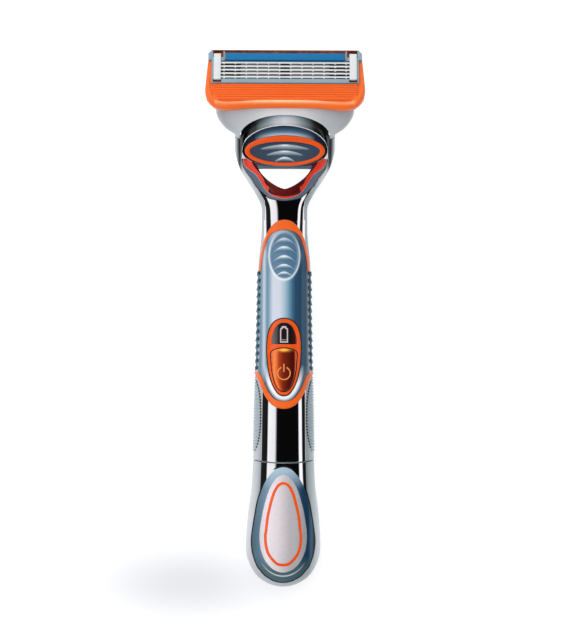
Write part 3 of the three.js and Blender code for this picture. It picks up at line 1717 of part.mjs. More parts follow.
function guardSection(x, drop) {
  const reach = Math.min(lipRadius, lipRoomShare * (guardFrontU + drop));
  const centreU = -drop + reach;
  const middle = (guardBack + guardTop - lipSag) / 2;
  const height = (guardTop - lipSag - guardBack) / 2;
  const points = [
    [guardFrontU, guardBack],
    [guardFrontU, guardTop],
    [(guardFrontU + centreU) / 2, guardTop],
  ];
  const steps = 8;
  for (let step = 0; step <= steps; step += 1) {
    const angle = Math.PI / 2 + (Math.PI * step) / steps;
    points.push([centreU + reach * Math.cos(angle), middle + height * Math.sin(angle)]);
  }
  return points.map(([u, w]) => new THREE.Vector3(x, u, w));
}

// The assembly
const razor = new THREE.Group();
razor.add(
  piece("handle_body", eased(handleBody()), finishes.satinSilver),
  piece("chrome_spine", eased(chromeSpine()), finishes.chrome),
  piece("side_grip_left", sideGrip(-1), finishes.satinSilver),
  piece("side_grip_right", sideGrip(1), finishes.satinSilver),
  piece("back_grip", eased(backGrip()), finishes.darkBlue),
  piece("front_grip", eased(frontGrip()), finishes.blueGrey),
  piece("grip_rim_upper", eased(gripRim(true)), finishes.orange),
  piece("grip_rim_lower", eased(gripRim(false)), finishes.orange),
  piece("switch_bezel", eased(switchBezel()), finishes.orange),
  piece("battery_window", eased(batteryWindow()), finishes.black),
  piece("power_button", powerButton(), finishes.amber),
  piece("circuit_board", circuitBoard(), finishes.board),
  piece("tactile_switch", tactileSwitch(), finishes.black),
  piece("switch_plunger", switchPlunger(), finishes.greyPlastic),
  piece("indicator_lamp", indicatorLamp(), finishes.pearl),
  piece("inner_chassis", eased(innerChassis()), finishes.greyPlastic),
  piece("front_contact", frontContact(), finishes.steel),
  piece("motor", motorCan(), finishes.steel),
  piece("eccentric_weight", eccentricWeight(), finishes.steel),
  piece("battery", batteryCell(), finishes.battery),
  piece("seal_ring", sealRing(), finishes.black),
  piece("bayonet_collar", bayonetCollar(), finishes.greyPlastic),
  piece("end_cap", eased(endCap()), finishes.satinSilver),
  piece("cap_pad", eased(capPad()), finishes.darkBlue),
  piece("cap_badge", eased(capBadge()), finishes.pearl),
  piece("cap_line", eased(capLine()), finishes.orange),
  piece("battery_spring", batterySpring(), finishes.steel),
  piece("neck_loop", eased(neckLoop()), finishes.chrome),
  piece("loop_liner", eased(loopLiner()), finishes.darkBlue),
  piece("loop_trim", eased(loopTrim()), finishes.redTrim),
);

const dock = new THREE.Group();
dock.position.set(0, pivotY, pivotZ);
dock.rotation.x = dockSlope;
dock.add(
  piece("release_button", eased(releaseButton()), finishes.darkBlue),
  piece("button_ring", buttonRing(), finishes.orange),
  piece("ejector", ejector(), finishes.greyPlastic),
  piece("spring_plunger", plunger(), finishes.greyPlastic),
  piece("plunger_spring", plungerSpring(), finishes.steel),
  piece("connector_yoke", eased(connectorYoke()), finishes.satinSilver),
);

const cartridge = new THREE.Group();
cartridge.position.set(0, pivotY, pivotZ);
cartridge.rotation.x = -faceSlope;
cartridge.add(
  piece("cartridge_frame", eased(cartridgeFrame()), finishes.clearBlue),
  piece("elastomer_guard", eased(elastomerGuard()), finishes.orange),
  piece("lubricating_strip", lubricatingStrip(), finishes.strip),
  piece("trimmer_blade", trimmerBlade(), finishes.steel),
  piece("clip_left", clip(-1), finishes.steel),
  piece("clip_right", clip(1), finishes.steel),
);
for (let index = 0; index < bladeCount; index += 1) {
  cartridge.add(piece(`blade_${index + 1}`, blade(index), finishes.steel));
}
razor.add(dock, cartridge);

export default razor;
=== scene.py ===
"""Looks of a battery cartridge razor, lying on its back and seen from straight above."""

import json
import math

import bmesh
import bpy
from mathutils import Matrix, Vector


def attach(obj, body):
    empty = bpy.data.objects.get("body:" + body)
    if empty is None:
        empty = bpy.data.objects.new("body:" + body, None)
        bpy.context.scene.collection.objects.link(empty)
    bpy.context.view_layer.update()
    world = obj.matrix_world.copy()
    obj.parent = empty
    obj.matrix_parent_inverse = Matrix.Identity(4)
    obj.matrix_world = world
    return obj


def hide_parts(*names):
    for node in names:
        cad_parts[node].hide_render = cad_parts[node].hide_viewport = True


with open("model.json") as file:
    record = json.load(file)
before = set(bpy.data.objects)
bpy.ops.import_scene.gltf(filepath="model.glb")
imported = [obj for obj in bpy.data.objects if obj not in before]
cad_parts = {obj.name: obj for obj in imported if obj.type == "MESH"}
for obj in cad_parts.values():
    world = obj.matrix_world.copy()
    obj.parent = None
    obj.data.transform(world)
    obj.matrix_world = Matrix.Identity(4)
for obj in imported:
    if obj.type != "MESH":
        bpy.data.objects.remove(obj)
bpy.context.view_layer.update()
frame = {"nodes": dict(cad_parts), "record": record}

# Every shape is drawn in millimetres and brought to metres when its piece is made
MM = 0.001

# Body rows from the tail to the dock: place, half width, height of the back, height of the face
BODY = [
    (-52.60, 0.954, 6.060, 10.360), (-52.38, 2.300, 5.300, 11.100),
    (-52.05, 3.350, 4.700, 11.700), (-51.59, 4.400, 3.988, 12.432),
    (-50.95, 5.480, 3.150, 13.270), (-50.21, 6.480, 2.508, 13.912),
    (-49.11, 7.520, 1.842, 14.504), (-46.99, 8.745, 1.028, 15.244),
    (-45.01, 9.500, 0.658, 15.688), (-42.99, 9.850, 0.436, 15.836),
    (-40.00, 9.850, 0.288, 15.910), (-33.01, 9.349, 0.140, 15.688),
    (-25.99, 8.451, -0.156, 15.244), (-19.00, 8.109, -0.496, 14.904),
    (-12.03, 7.950, -0.600, 14.696), (-3.97, 7.791, -0.600, 14.445),
    (4.01, 7.497, -0.600, 14.193), (5.20, 7.120, -0.600, 14.133), (12.00, 6.880, -0.600, 13.794),
    (19.99, 6.720, -0.452, 13.305), (27.98, 6.560, 0.140, 12.906), (30.20, 6.620, 0.440, 12.795),
    (31.40, 6.900, 0.610, 12.730), (34.00, 6.797, 0.984, 12.595), (40.03, 6.145, 2.360, 12.506),
    (44.40, 6.042, 3.648, 12.595), (48.00, 6.142, 4.889, 12.894), (50.20, 7.116, 5.531, 13.194),
    (52.30, 8.304, 6.109, 13.601), (54.39, 9.743, 6.708, 14.093), (56.49, 11.053, 7.286, 14.692),
    (58.70, 12.148, 7.928, 15.398), (60.79, 12.749, 8.612, 16.104),
    (62.89, 13.200, 9.254, 16.875), (65.80, 13.200, 10.196, 17.902),
    (72.01, 13.200, 12.422, 20.149),
]
GRIP_END_Y = 44.4
AXIS_Z = 7.2
BORE_RADIUS = 5.6
SECTION_POWER = 2.4

# Pivot of the cartridge, the frame of the dock and the frame of the cartridge
PIVOT = Vector((0, 74.7, 19.2))


def tipped(place, degrees):
    return Matrix.Translation(place) @ Matrix.Rotation(math.radians(degrees), 4, "X")


DOCK = tipped(PIVOT, 20)
HEAD = tipped(PIVOT + Vector((0, -0.3, 0)), -25)


def value_at(column, y):
    """A column of the body rows at any place along the body, on a smooth curve."""
    if y <= BODY[0][0]:
        return BODY[0][column]
    if y >= BODY[-1][0]:
        return BODY[-1][column]
    row = max(i for i, r in enumerate(BODY[:-1]) if r[0] <= y)

    def slope(i):
        low, high = BODY[max(i - 1, 0)], BODY[min(i + 1, len(BODY) - 1)]
        return (high[column] - low[column]) / (high[0] - low[0])

    first, second = BODY[row], BODY[row + 1]
    span = second[0] - first[0]
    t = (y - first[0]) / span
    rise = 3 * t**2 - 2 * t**3
    bend = slope(row) * (t**3 - 2 * t**2 + t) + slope(row + 1) * (t**3 - t**2)
    return first[column] * (1 - rise) + second[column] * rise + span * bend


def half_at(y):
    return value_at(1, y)


def face_height(x, y, side=0.0, face=0.0):
    """Height of the body's face, with its sides and its face moved out."""
    middle = (value_at(2, y) + value_at(3, y)) / 2
    up = value_at(3, y) + face - middle
    share = min(abs(x) / (half_at(y) + side), 1)
    return middle + up * (1 - share**SECTION_POWER) ** (1 / SECTION_POWER)


def section_point(angle):
    """A point of the body's rounded section, drawn with halves of one."""
    c, s = math.cos(angle), math.sin(angle)
    power = 2 / SECTION_POWER
    return math.copysign(abs(c) ** power, c), math.copysign(abs(s) ** power, s)


def body_ring(y, side=0.0, back=0.0, face=0.0, count=72):
    """One section of the body, its back cut flat where the razor rests."""
    middle = (value_at(2, y) + value_at(3, y)) / 2
    up, down = value_at(3, y) + face - middle, middle - value_at(2, y) + back
    ring = []
    for i in range(count):
        wide, tall = section_point(math.tau * i / count)
        z = middle + (up if tall > 0 else down) * tall
        ring.append(((half_at(y) + side) * wide, y, max(z, 0.0)))
    return ring


def round_ring(y, radius, count=72):
    turns = [math.tau * i / count for i in range(count)]
    return [(radius * math.cos(t), y, AXIS_Z + radius * math.sin(t)) for t in turns]


def span(start, end, step):
    count = max(1, round(abs(end - start) / step))
    return [start + (end - start) * i / count for i in range(count + 1)]


def row_value(rows, place):
    """A table's value at a place, on straight lines between its rows."""
    pairs = list(zip(rows, rows[1:]))
    (low, first), (high, second) = next((p for p in pairs if place <= p[1][0]), pairs[-1])
    return first + (second - first) * (place - low) / (high - low)


def bell(value, middle, width):
    return math.exp(-(((value - middle) / width) ** 2))


def swell(t):
    """A ridge's height from its upper edge to its lower one, which is the flatter side."""
    return math.sin(min(t / 0.3, (1 - t) / 0.7) * math.pi / 2)


def curve_point(a, b, c, d, t):
    """A point on the smooth curve from b to c, with a before them and d after them."""
    bend = 2 * b + (c - a) * t + (2 * a - 5 * b + 4 * c - d) * t**2
    return (bend + (3 * b - a - 3 * c + d) * t**3) / 2


def dip_at(y, seam=-19.1):
    return 0.62 * max(0.0, 1 - abs(y - seam) / 3.2)


def dipped(ring, depth=0.62):
    """A section whose face dips towards the tail, as the seam of the cap does."""
    wide = max(x for x, y, z in ring)
    middle = (min(p[2] for p in ring) + max(p[2] for p in ring)) / 2
    return [
        (x, y - (depth * (1 - (x / wide) ** 2) if z > middle else 0), z) for x, y, z in ring
    ]


# Mesh helpers
def skin_over(rings, closed=False):
    """A skin bridged from ring to ring, with its two ends filled."""
    bm = bmesh.new()
    loops = []
    for ring in rings:
        verts = [bm.verts.new(p) for p in ring]
        loops.append([bm.edges.new(pair) for pair in zip(verts, verts[1:] + verts[:1])])
    pairs = list(zip(loops, loops[1:] + ([loops[0]] if closed else [])))
    for low, high in pairs[: len(loops) if closed else len(loops) - 1]:
        bmesh.ops.bridge_loops(bm, edges=low + high)
    if not closed:
        bmesh.ops.holes_fill(bm, edges=loops[0] + loops[-1], sides=0)
    return bm


def joined(*parts):
    whole = parts[0]
    for part in parts[1:]:
        mesh = bpy.data.meshes.new("part")
        part.to_mesh(mesh)
        part.free()
        whole.from_mesh(mesh)
        bpy.data.meshes.remove(mesh)
    return whole


def softened(bm, edges, width, segments=3):
    bmesh.ops.bevel(
        bm, geom=edges, offset=width, segments=segments, profile=0.5, affect="EDGES", material=-1
    )
    return bm


def brick(low, high, soft=0.0, segments=3):
    size = [b - a for a, b in zip(low, high)]
    middle = [(a + b) / 2 for a, b in zip(low, high)]
    bm = bmesh.new()
    place = Matrix.Translation(middle) @ Matrix.Diagonal((*size, 1))
    bmesh.ops.create_cube(bm, size=1, matrix=place)
    return softened(bm, bm.edges[:], soft, segments) if soft else bm


def rod(start, end, radius, soft=0.0, sides=32):
    start, end = Vector(start), Vector(end)
    along = end - start
    turn = along.to_track_quat("Z", "Y").to_matrix().to_4x4()
    bm = bmesh.new()
    place = Matrix.Translation((start + end) / 2) @ turn
    sizes = {"segments": sides, "radius1": radius, "radius2": radius, "depth": along.length}
    bmesh.ops.create_cone(bm, cap_ends=True, matrix=place, **sizes)
    if soft:
        rims = [e for e in bm.edges if any(len(f.verts) > 4 for f in e.link_faces)]
        softened(bm, rims, soft)
    return bm


def swept(points, along):
    """A closed shape drawn out from a flat outline, and the vertices of its far end."""
    bm = bmesh.new()
    foot = bm.faces.new([bm.verts.new(p) for p in points])
    made = bmesh.ops.extrude_face_region(bm, geom=[foot])["geom"]
    raised = [v for v in made if isinstance(v, bmesh.types.BMVert)]
    bmesh.ops.translate(bm, verts=raised, vec=along)
    loose = [e for e in bm.edges if e.is_boundary]
    if loose:
        bmesh.ops.holes_fill(bm, edges=loose, sides=0)
    return bm, raised


def plate(points, low, high, soft=0.0, segments=3):
    """A flat plate of an outline, its upper edge rounded."""
    bm, raised = swept([(x, y, low) for x, y in points], (0, 0, high - low))
    if soft:
        top = set(raised)
        softened(bm, [e for e in bm.edges if set(e.verts) <= top], soft, segments)
    return bm


def through(points):
    """A cutter of an outline that goes right through the razor."""
    return plate(points, -5, 40)


def cut_at(bm, axis, place, sign=1, clear=False):
    """Cuts a mesh across an axis, and clears what lies beyond where that is asked."""
    point, normal = [0, 0, 0], [0, 0, 0]
    point[axis], normal[axis] = place, sign
    cut = {"plane_co": point, "plane_no": normal, "clear_outer": clear, "dist": 1e-5}
    bmesh.ops.bisect_plane(bm, geom=bm.verts[:] + bm.edges[:] + bm.faces[:], **cut)


def sliced(bm, across=1.0, along=1.0):
    """Cuts a plate into a grid, so that it can bend."""
    for axis, step in ((0, across), (1, along)):
        places = [v.co[axis] for v in bm.verts]
        for place in span(min(places), max(places), step)[1:-1]:
            cut_at(bm, axis, place)
    return bm


def kept(bm, axis, low=None, high=None):
    """Only what lies between two places on an axis, closed again."""
    for place, sign in ((low, -1), (high, 1)):
        if place is not None:
            cut_at(bm, axis, place, sign, True)
            bmesh.ops.holes_fill(bm, edges=[e for e in bm.edges if e.is_boundary], sides=0)
    return bm


def draped(bm, side=0.0, face=0.0, relief=None):
    """Lays a plate on the body's face; its own height stays above the face."""
    for v in bm.verts:
        extra = relief(v.co.x, v.co.y) if relief and v.co.z > 0 else 0
        v.co.z += face_height(v.co.x, v.co.y, side, face) + extra
    return bm


def crowned(points, depth, reach):
    """A relief that falls away towards an outline, as a moulded edge does."""
    sides = list(zip(points, points[1:] + points[:1]))

    def fall(x, y):
        nearest = reach
        for (ax, ay), (bx, by) in sides:
            if min(abs(ay - y), abs(by - y)) > reach + 1:
                continue
            lx, ly = bx - ax, by - ay
            t = min(max(((x - ax) * lx + (y - ay) * ly) / (lx * lx + ly * ly), 0), 1)
            nearest = min(nearest, math.hypot(ax + t * lx - x, ay + t * ly - y))
        return -depth * (1 - nearest / reach) ** 2

    return fall


def painted(bm, rule):
    """Gives each face the finish that a rule picks from the place of its middle."""
    for face in bm.faces:
        face.material_index = rule(face.calc_center_median())
    return bm


def placed(bm, matrix):
    bmesh.ops.transform(bm, matrix=matrix, verts=bm.verts)
    return bm


def carved(bm, *cutters, operation="DIFFERENCE"):
    """Cuts closed shapes out of a closed shape."""
    bmesh.ops.recalc_face_normals(bm, faces=bm.faces)
    mesh = bpy.data.meshes.new("carving")
    bm.to_mesh(mesh)
    bm.free()
    work = bpy.data.objects.new("carving", mesh)
    bpy.context.scene.collection.objects.link(work)
    tools = []
    for cutter in cutters:
        bmesh.ops.recalc_face_normals(cutter, faces=cutter.faces)
        tool_mesh = bpy.data.meshes.new("tool")
        cutter.to_mesh(tool_mesh)
        cutter.free()
        tool = bpy.data.objects.new("tool", tool_mesh)
        bpy.context.scene.collection.objects.link(tool)
        cut = work.modifiers.new("cut", "BOOLEAN")
        cut.object, cut.operation, cut.solver = tool, operation, "EXACT"
        tools.append(tool)
    seen = work.evaluated_get(bpy.context.evaluated_depsgraph_get())
    result = bmesh.new()
    result.from_mesh(seen.to_mesh())
    seen.to_mesh_clear()
    for item in [work, *tools]:
        old = item.data
        bpy.data.objects.remove(item)
        bpy.data.meshes.remove(old)
    return result


def mirrored(half):
    """A closed outline from its right half, listed from below to above."""
    left = [(-x, y) for x, y in reversed(half) if x > 1e-6]
    return list(half) + left


def flowing(points, steps=4):
    """A closed outline with more points on a smooth curve through the given ones."""
    count = len(points)
    smooth = []
    for i in range(count):
        near = [Vector(points[(i + k) % count]) for k in (-1, 0, 1, 2)]
        smooth += [tuple(curve_point(*near, step / steps)) for step in range(steps)]
    return smooth


def outline(rows, steps=4):
    return flowing(mirrored(rows), steps)


def shifted(points, by):
    """An outline moved outwards."""
    moved = []
    count = len(points)
    for i in range(count):
        a, b = Vector(points[i - 1]), Vector(points[(i + 1) % count])
        along = (b - a).normalized()
        moved.append((points[i][0] + along.y * by, points[i][1] - along.x * by))
    return moved


def oval(half_x, low, high, centre, count=64):
    """An egg: one length below its middle and another above it."""
    turns = [math.tau * i / count for i in range(count)]
    return [
        (half_x * math.cos(t), centre + (high if math.sin(t) > 0 else low) * math.sin(t))
        for t in turns
    ]


# Materials
class Wire:
    """A socket that does sums."""

    def __init__(self, shade, socket):
        self.shade, self.socket = shade, socket

    def sum(self, operation, *values):
        return self.shade.sum(operation, *values)

    def __add__(self, other):
        return self.sum("ADD", self, other)

    def __sub__(self, other):
        return self.sum("SUBTRACT", self, other)

    def __rsub__(self, other):
        return self.sum("SUBTRACT", other, self)

    def __mul__(self, other):
        return self.sum("MULTIPLY", self, other)

    def __truediv__(self, other):
        return self.sum("DIVIDE", self, other)

    def __gt__(self, other):
        return self.sum("GREATER_THAN", self, other)

    def clipped(self):
        return self.sum("MULTIPLY", self.sum("MAXIMUM", self.sum("MINIMUM", self, 1.0), 0.0), 1.0)

    __radd__ = __add__
    __rmul__ = __mul__


def tone(red, green, blue, gain=1.0):
    """A colour as a screen shows it, turned into light."""
    parts = [c / 255 for c in (red, green, blue)]
    light = [c / 12.92 if c <= 0.04045 else ((c + 0.055) / 1.055) ** 2.4 for c in parts]
    return tuple(min(c * gain, 1.0) for c in light) + (1.0,)


def toned(rows):
    """The stops of a ramp, from places and screen colours."""
    return [(place, tone(*rgb)) for place, rgb in rows]


def both_ways(rows):
    """A run of tones that is the same on both sides, from its middle outwards."""
    return [(-place, rgb) for place, rgb in rows[:0:-1]] + rows


class Shade:
    def __init__(self, name, **constants):
        self.material = bpy.data.materials.new(name)
        self.material.use_nodes = True
        self.tree = self.material.node_tree
        self.shader = self.tree.nodes["Principled BSDF"]
        self.shader.inputs["Specular IOR Level"].default_value = 0.3
        for key, value in constants.items():
            self.shader.inputs[key.replace("_", " ")].default_value = value
        self.place = self.node("TexCoord", out="Object")

    def node(self, kind, settings=None, inputs=None, out=0):
        made = self.tree.nodes.new("ShaderNode" + kind)
        for key, value in (settings or {}).items():
            if key == "stops":
                ramp = made.color_ramp.elements
                while len(ramp) < len(value):
                    ramp.new(0.5)
                for stop, (position, colour) in zip(ramp, value):
                    stop.position, stop.color = position, colour
            else:
                setattr(made, key, value)
        for key, value in (inputs or {}).items():
            if isinstance(value, Wire):
                self.tree.links.new(value.socket, made.inputs[key])
            else:
                made.inputs[key].default_value = value
        return Wire(self, made.outputs[out])

    def sum(self, operation, *values):
        return self.node("Math", {"operation": operation}, dict(enumerate(values)))

    def feed(self, name, wire):
        self.tree.links.new(wire.socket, self.shader.inputs[name])

    def axes(self, source=None):
        source = source or self.place
        node = self.node("SeparateXYZ", None, {0: source}).socket.node
        return [Wire(self, s) for s in node.outputs]

    def mix(self, amount, first, second):
        pair = {0: amount, 6: first, 7: second}
        return self.node("Mix", {"data_type": "RGBA", "clamp_factor": True}, pair, out=2)

    def ramp(self, stops, place):
        return self.node("ValToRGB", {"stops": stops}, {"Fac": place})

    def tint(self):
        """The painted light and painted shade that a piece carries at each of its points."""
        return self.node("Attribute", {"attribute_name": "tint"}, out=2)

    def noise(self, size, detail=3.0, stretch=(1, 1, 1)):
        spread = self.node("Mapping", None, {"Vector": self.place, "Scale": stretch})
        return self.node("TexNoise", None, {"Vector": spread, "Scale": size, "Detail": detail})

    def bumps(self, height, strength, distance=0.00005):
        values = {"Height": height, "Strength": strength, "Distance": distance}
        self.feed("Normal", self.node("Bump", None, values))


def finish(
    name, colour, rough=0.4, second=None, mottle=0.35, mottle_size=140.0, grain=0.08,
    grain_size=2200.0, stretch=(1, 1, 1), relief=0.15, **constants,
):
    """A finish whose colour drifts a little, with fine grain in its gloss and its relief."""
    shade = Shade(name, **constants)
    drift = ((shade.noise(mottle_size, 2.0, stretch) - 0.5) * 2 * mottle + 0.5).clipped()
    dark = second or tuple(c * 0.86 for c in colour[:3]) + (1.0,)
    shade.feed("Base Color", shade.mix(drift, dark, colour))
    fine = shade.noise(grain_size, 4.0, stretch)
    shade.feed("Roughness", (fine - 0.5) * grain + rough)
    if relief:
        shade.bumps(fine, relief)
    return shade.material


def across(name, reach, stops, rough=0.3, fleck=0.08, relief=0.03, more=None, **constants):
    """A lacquer whose tone runs across the razor, with a fine fleck in it; the run carries painted
    reflections and painted shade.
    """
    shade = Shade(name, **constants)
    x, y, z = shade.axes()
    # The stops are painted reflections and painted shade across the width.
    run = [(place / (2 * reach) + 0.5, tone(*rgb)) for place, rgb in stops]
    colour = shade.ramp(run, x / (2 * reach * MM) + 0.5)
    if more:
        colour = more(shade, x, y, colour)
    fine = shade.noise(2600, 3.0)
    colour = shade.mix((fine - 0.5).clipped() * fleck * 4, colour, tone(0, 0, 0))
    shade.feed("Base Color", colour)
    shade.feed("Roughness", (fine - 0.5) * 0.08 + rough)
    if relief:
        shade.bumps(fine, relief)
    return shade.material


def oval_reach(shade, x, y, half_x, half_y, middle):
    """How far a place is from the middle of an oval, one being on its edge."""
    dx, dy = x / (half_x * MM), (y - middle * MM) / (half_y * MM)
    return shade.sum("SQRT", dx * dx + dy * dy)


def panel_tones(shade, x, y, colour):
    """The thumb rest with painted shade and painted highlights on its ridges and rim, and a painted
    highlight round the foot of the switch.
    """
    tint = shade.tint()
    rest = oval_reach(shade, x, y, 3.95, 6.25, 34.95)
    # Inside the thumb rest the painted reflections give way to an even mid blue.
    colour = shade.mix(((rest - 1.0) * -12).clipped() * 0.92, colour, tone(80, 120, 148))
    # Painted shade and painted highlights from the piece's painted light.
    colour = shade.mix((tint * -1).clipped(), colour, tone(4, 28, 52))
    colour = shade.mix(tint.clipped(), colour, tone(236, 242, 250))
    # A painted highlight round the foot of the switch, with painted shade just outside it.
    reach = oval_reach(shade, x, y, 4.6, 8.9, 7.0)
    painted_highlight_ring = [
        (0.0, (246, 245, 251)), (0.3, (240, 240, 248)), (0.5, (157, 179, 192)),
        (0.7, (86, 96, 110)), (1.0, (110, 134, 150)),
    ]
    ring = shade.ramp(toned(painted_highlight_ring), (reach - 1.0) / 0.3)
    # Near the top the painted reflections are dimmed halfway to a mid blue.
    colour = shade.mix((y / (4 * MM) - 9.2).clipped() * 0.5, colour, tone(104, 130, 152))
    return shade.mix((1.25 - y / (5 * MM)).clipped(), colour, ring)


def pad_tones(shade, x, y, colour):
    """The pad turns greyer towards its foot, where a painted highlight crescent lies; its head
    carries a paler painted highlight.
    """
    colour = shade.mix((-11.0 - y / (4 * MM)).clipped() * 0.85, colour, tone(66, 92, 100))
    colour = shade.mix((y / (5 * MM) + 5.3).clipped() * 0.75, colour, tone(176, 200, 216))
    reach = oval_reach(shade, x, y, 6.95, 8.3, -41.2)
    # A thin painted highlight crescent near the pad's foot.
    line = shade.sum("EXPONENT", (reach - 1.0) * (reach - 1.0) * -2600.0)
    return shade.mix(line * (-11.4 - y / (4 * MM)).clipped(), colour, tone(214, 220, 216))


def slope_tones(shade, x, y, colour):
    """A painted reflection on the button, pale beside its ring and darkening away from it into
    painted shade at its sides; its dish darkens towards its upper end and takes the painted light
    of its crescents.
    """
    tint = shade.tint()
    reach = oval_reach(shade, x, y, 10.55, 4.0, 62.6)
    # A painted reflection, pale by the ring and darker away from it.
    steps = [
        (0.0, (176, 190, 206)), (0.12, (160, 178, 196)), (0.3, (92, 122, 144)),
        (0.55, (62, 92, 116)), (0.85, (44, 66, 88)), (1.0, (30, 44, 60)),
    ]
    slope = shade.ramp(toned(steps), (reach - 1.0) / 0.6)
    # Painted shade towards the sides.
    side = shade.sum("ABSOLUTE", x) / (11 * MM)
    slope = shade.mix((side * side * side * 2.6).clipped(), slope, tone(34, 50, 70))
    # The dish darkens towards its upper end.
    dish = shade.mix((-28.4 - y * -450.0).clipped(), colour, tone(40, 54, 72))
    colour = shade.mix(reach > 0.97, dish, slope)
    # The piece's painted shade and painted highlights on the crescents.
    colour = shade.mix((tint * -1).clipped(), colour, tone(28, 40, 56))
    return shade.mix(tint.clipped(), colour, tone(214, 228, 238))


# Painted reflections of the satin silver: pale towards both sides, darker in the middle and on the
# right.
SATIN_REFLECTIONS = [
    (-9.9, (212, 215, 220)), (-8.2, (198, 202, 207)), (-6.4, (176, 183, 189)),
    (0, (170, 178, 184)), (6.4, (148, 160, 166)), (8.2, (176, 186, 191)), (9.9, (208, 212, 215)),
]
satin_silver = across("satin_silver", 10, SATIN_REFLECTIONS, 0.34, 0.05, 0.08, Metallic=0.45)
# Painted reflections of the neck's satin, pale at the sides, with a thin dark line near each edge.
NECK_REFLECTIONS = [
    (-13.4, (222, 226, 230)), (-12.95, (192, 198, 204)), (-12.5, (128, 136, 142)),
    (-12.1, (60, 66, 70)), (-11.8, (30, 34, 36)), (-11.4, (150, 156, 162)),
    (-11.0, (200, 204, 210)), (-9.9, (208, 212, 218)), (-8.2, (196, 200, 206)),
    (-6.4, (176, 183, 189)), (0, (170, 178, 184)), (6.4, (148, 160, 166)), (8.2, (172, 182, 188)),
    (9.9, (204, 208, 212)), (11.0, (196, 202, 208)), (11.4, (140, 148, 154)),
    (11.8, (26, 30, 32)), (12.1, (52, 58, 62)), (12.5, (118, 126, 132)), (12.95, (186, 192, 198)),
    (13.4, (216, 222, 226)),
]
neck_satin = across("neck_satin", 13.4, NECK_REFLECTIONS, 0.3, 0.04, 0.06, Metallic=0.35)
chrome = finish("chrome", tone(242, 242, 246), 0.045, Metallic=1.0, grain=0.03, relief=0.02)
orange_rubber = finish(
    "orange_rubber", tone(240, 104, 26), 0.4, second=tone(232, 94, 24), relief=0.2, Coat_Weight=0.2
)


# Lays the piece's painted highlight on the lip, broken up by noise.
def lip_tones(shade, x, y, colour):
    tint = shade.tint()
    speck = shade.noise(900, 3.0) * 0.8 + 0.5
    return shade.mix((tint * speck).clipped(), colour, tone(255, 208, 160))


GUARD_RUN = [
    (-21, (240, 112, 36)), (-19, (240, 106, 32)), (0, (240, 104, 28)), (21, (240, 108, 34)),
]
guard_orange = across("guard_orange", 21, GUARD_RUN, 0.4, 0.06, 0.2, lip_tones, Coat_Weight=0.2)
orange_plastic = finish(
    "orange_plastic", tone(238, 88, 10), 0.28, second=tone(228, 78, 8), relief=0.05,
    Coat_Weight=0.15, Coat_Roughness=0.08,
)
# Painted reflections of the pearl panel: pale streaks on the left, dark navy on the right.
PEARL_REFLECTIONS = [
    (-6.9, (84, 112, 130)), (-6.2, (92, 124, 144)), (-5.8, (128, 156, 174)),
    (-5.5, (182, 196, 210)), (-5.1, (180, 196, 210)), (-4.8, (136, 162, 182)),
    (-4.4, (108, 140, 162)), (-3.9, (138, 166, 186)), (-3.0, (202, 208, 222)),
    (-1.2, (204, 210, 222)), (0.1, (164, 188, 206)), (1.4, (98, 140, 164)), (2.2, (62, 102, 130)),
    (3.0, (40, 74, 102)), (4.2, (34, 66, 92)), (4.9, (58, 92, 116)), (5.8, (40, 68, 92)),
    (6.5, (92, 122, 138)),
]
pearl_blue = across(
    "pearl_blue", 7, PEARL_REFLECTIONS, 0.3, 0.05, 0.02, panel_tones, Coat_Weight=0.04, Specular_IOR_Level=0.1
)
# Painted reflections across the pad: pale on the left, navy on the right, with a painted highlight
# streak near the right edge.
PAD_REFLECTIONS = [
    (-8.5, (66, 87, 101)), (-7.0, (84, 112, 130)), (-5.4, (104, 128, 146)),
    (-3.0, (132, 156, 174)), (0, (112, 140, 158)), (3.0, (70, 104, 128)), (5.0, (24, 58, 84)),
    (6.6, (22, 54, 80)), (7.5, (70, 100, 126)), (8.2, (30, 44, 56)),
]
deep_blue = across(
    "deep_blue", 8.6, PAD_REFLECTIONS, 0.3, 0.02, 0.01, pad_tones, Coat_Weight=0.03, Specular_IOR_Level=0.05
)
BUTTON_RUN = [(-11, (52, 66, 84)), (-5, (58, 72, 90)), (0, (66, 84, 104)), (11, (50, 62, 80))]
button_blue = across(
    "button_blue", 11, BUTTON_RUN, 0.26, 0.02, 0.02, slope_tones,
    Coat_Weight=0.1, Specular_IOR_Level=0.2,
)
# Painted chrome reflections on the visor: pale in the middle, black at the ends.
VISOR_REFLECTIONS = both_ways(
    [(0, (222, 228, 238)), (2.4, (196, 206, 214)), (4.5, (140, 158, 164)), (7.7, (34, 40, 42))]
    + [(9.6, (5, 5, 6)), (11.6, (4, 4, 5))]
)
visor_painted_chrome = across("visor_painted_chrome", 11.6, VISOR_REFLECTIONS, 0.16, 0.01, 0.0, Metallic=0.3, Coat_Weight=0.3)
# Painted shade in the grooves between the side ribs.
rib_groove_painted_shade = finish("rib_groove_painted_shade", tone(150, 174, 186), 0.4, second=tone(136, 160, 174))
# A painted highlight along the visor's inner edge.
visor_edge_highlight = finish("visor_edge_highlight", tone(244, 243, 247), 0.2, Metallic=0.2, relief=0.0)
slate_blue = finish(
    "slate_blue", tone(92, 108, 126), 0.38, second=tone(80, 96, 114), Coat_Weight=0.4
)
grip_blue = finish("grip_blue", tone(118, 148, 166), 0.42, second=tone(102, 132, 152), relief=0.4)
nub_blue = finish("nub_blue", tone(62, 94, 114), 0.35, second=tone(48, 78, 98), relief=0.2)
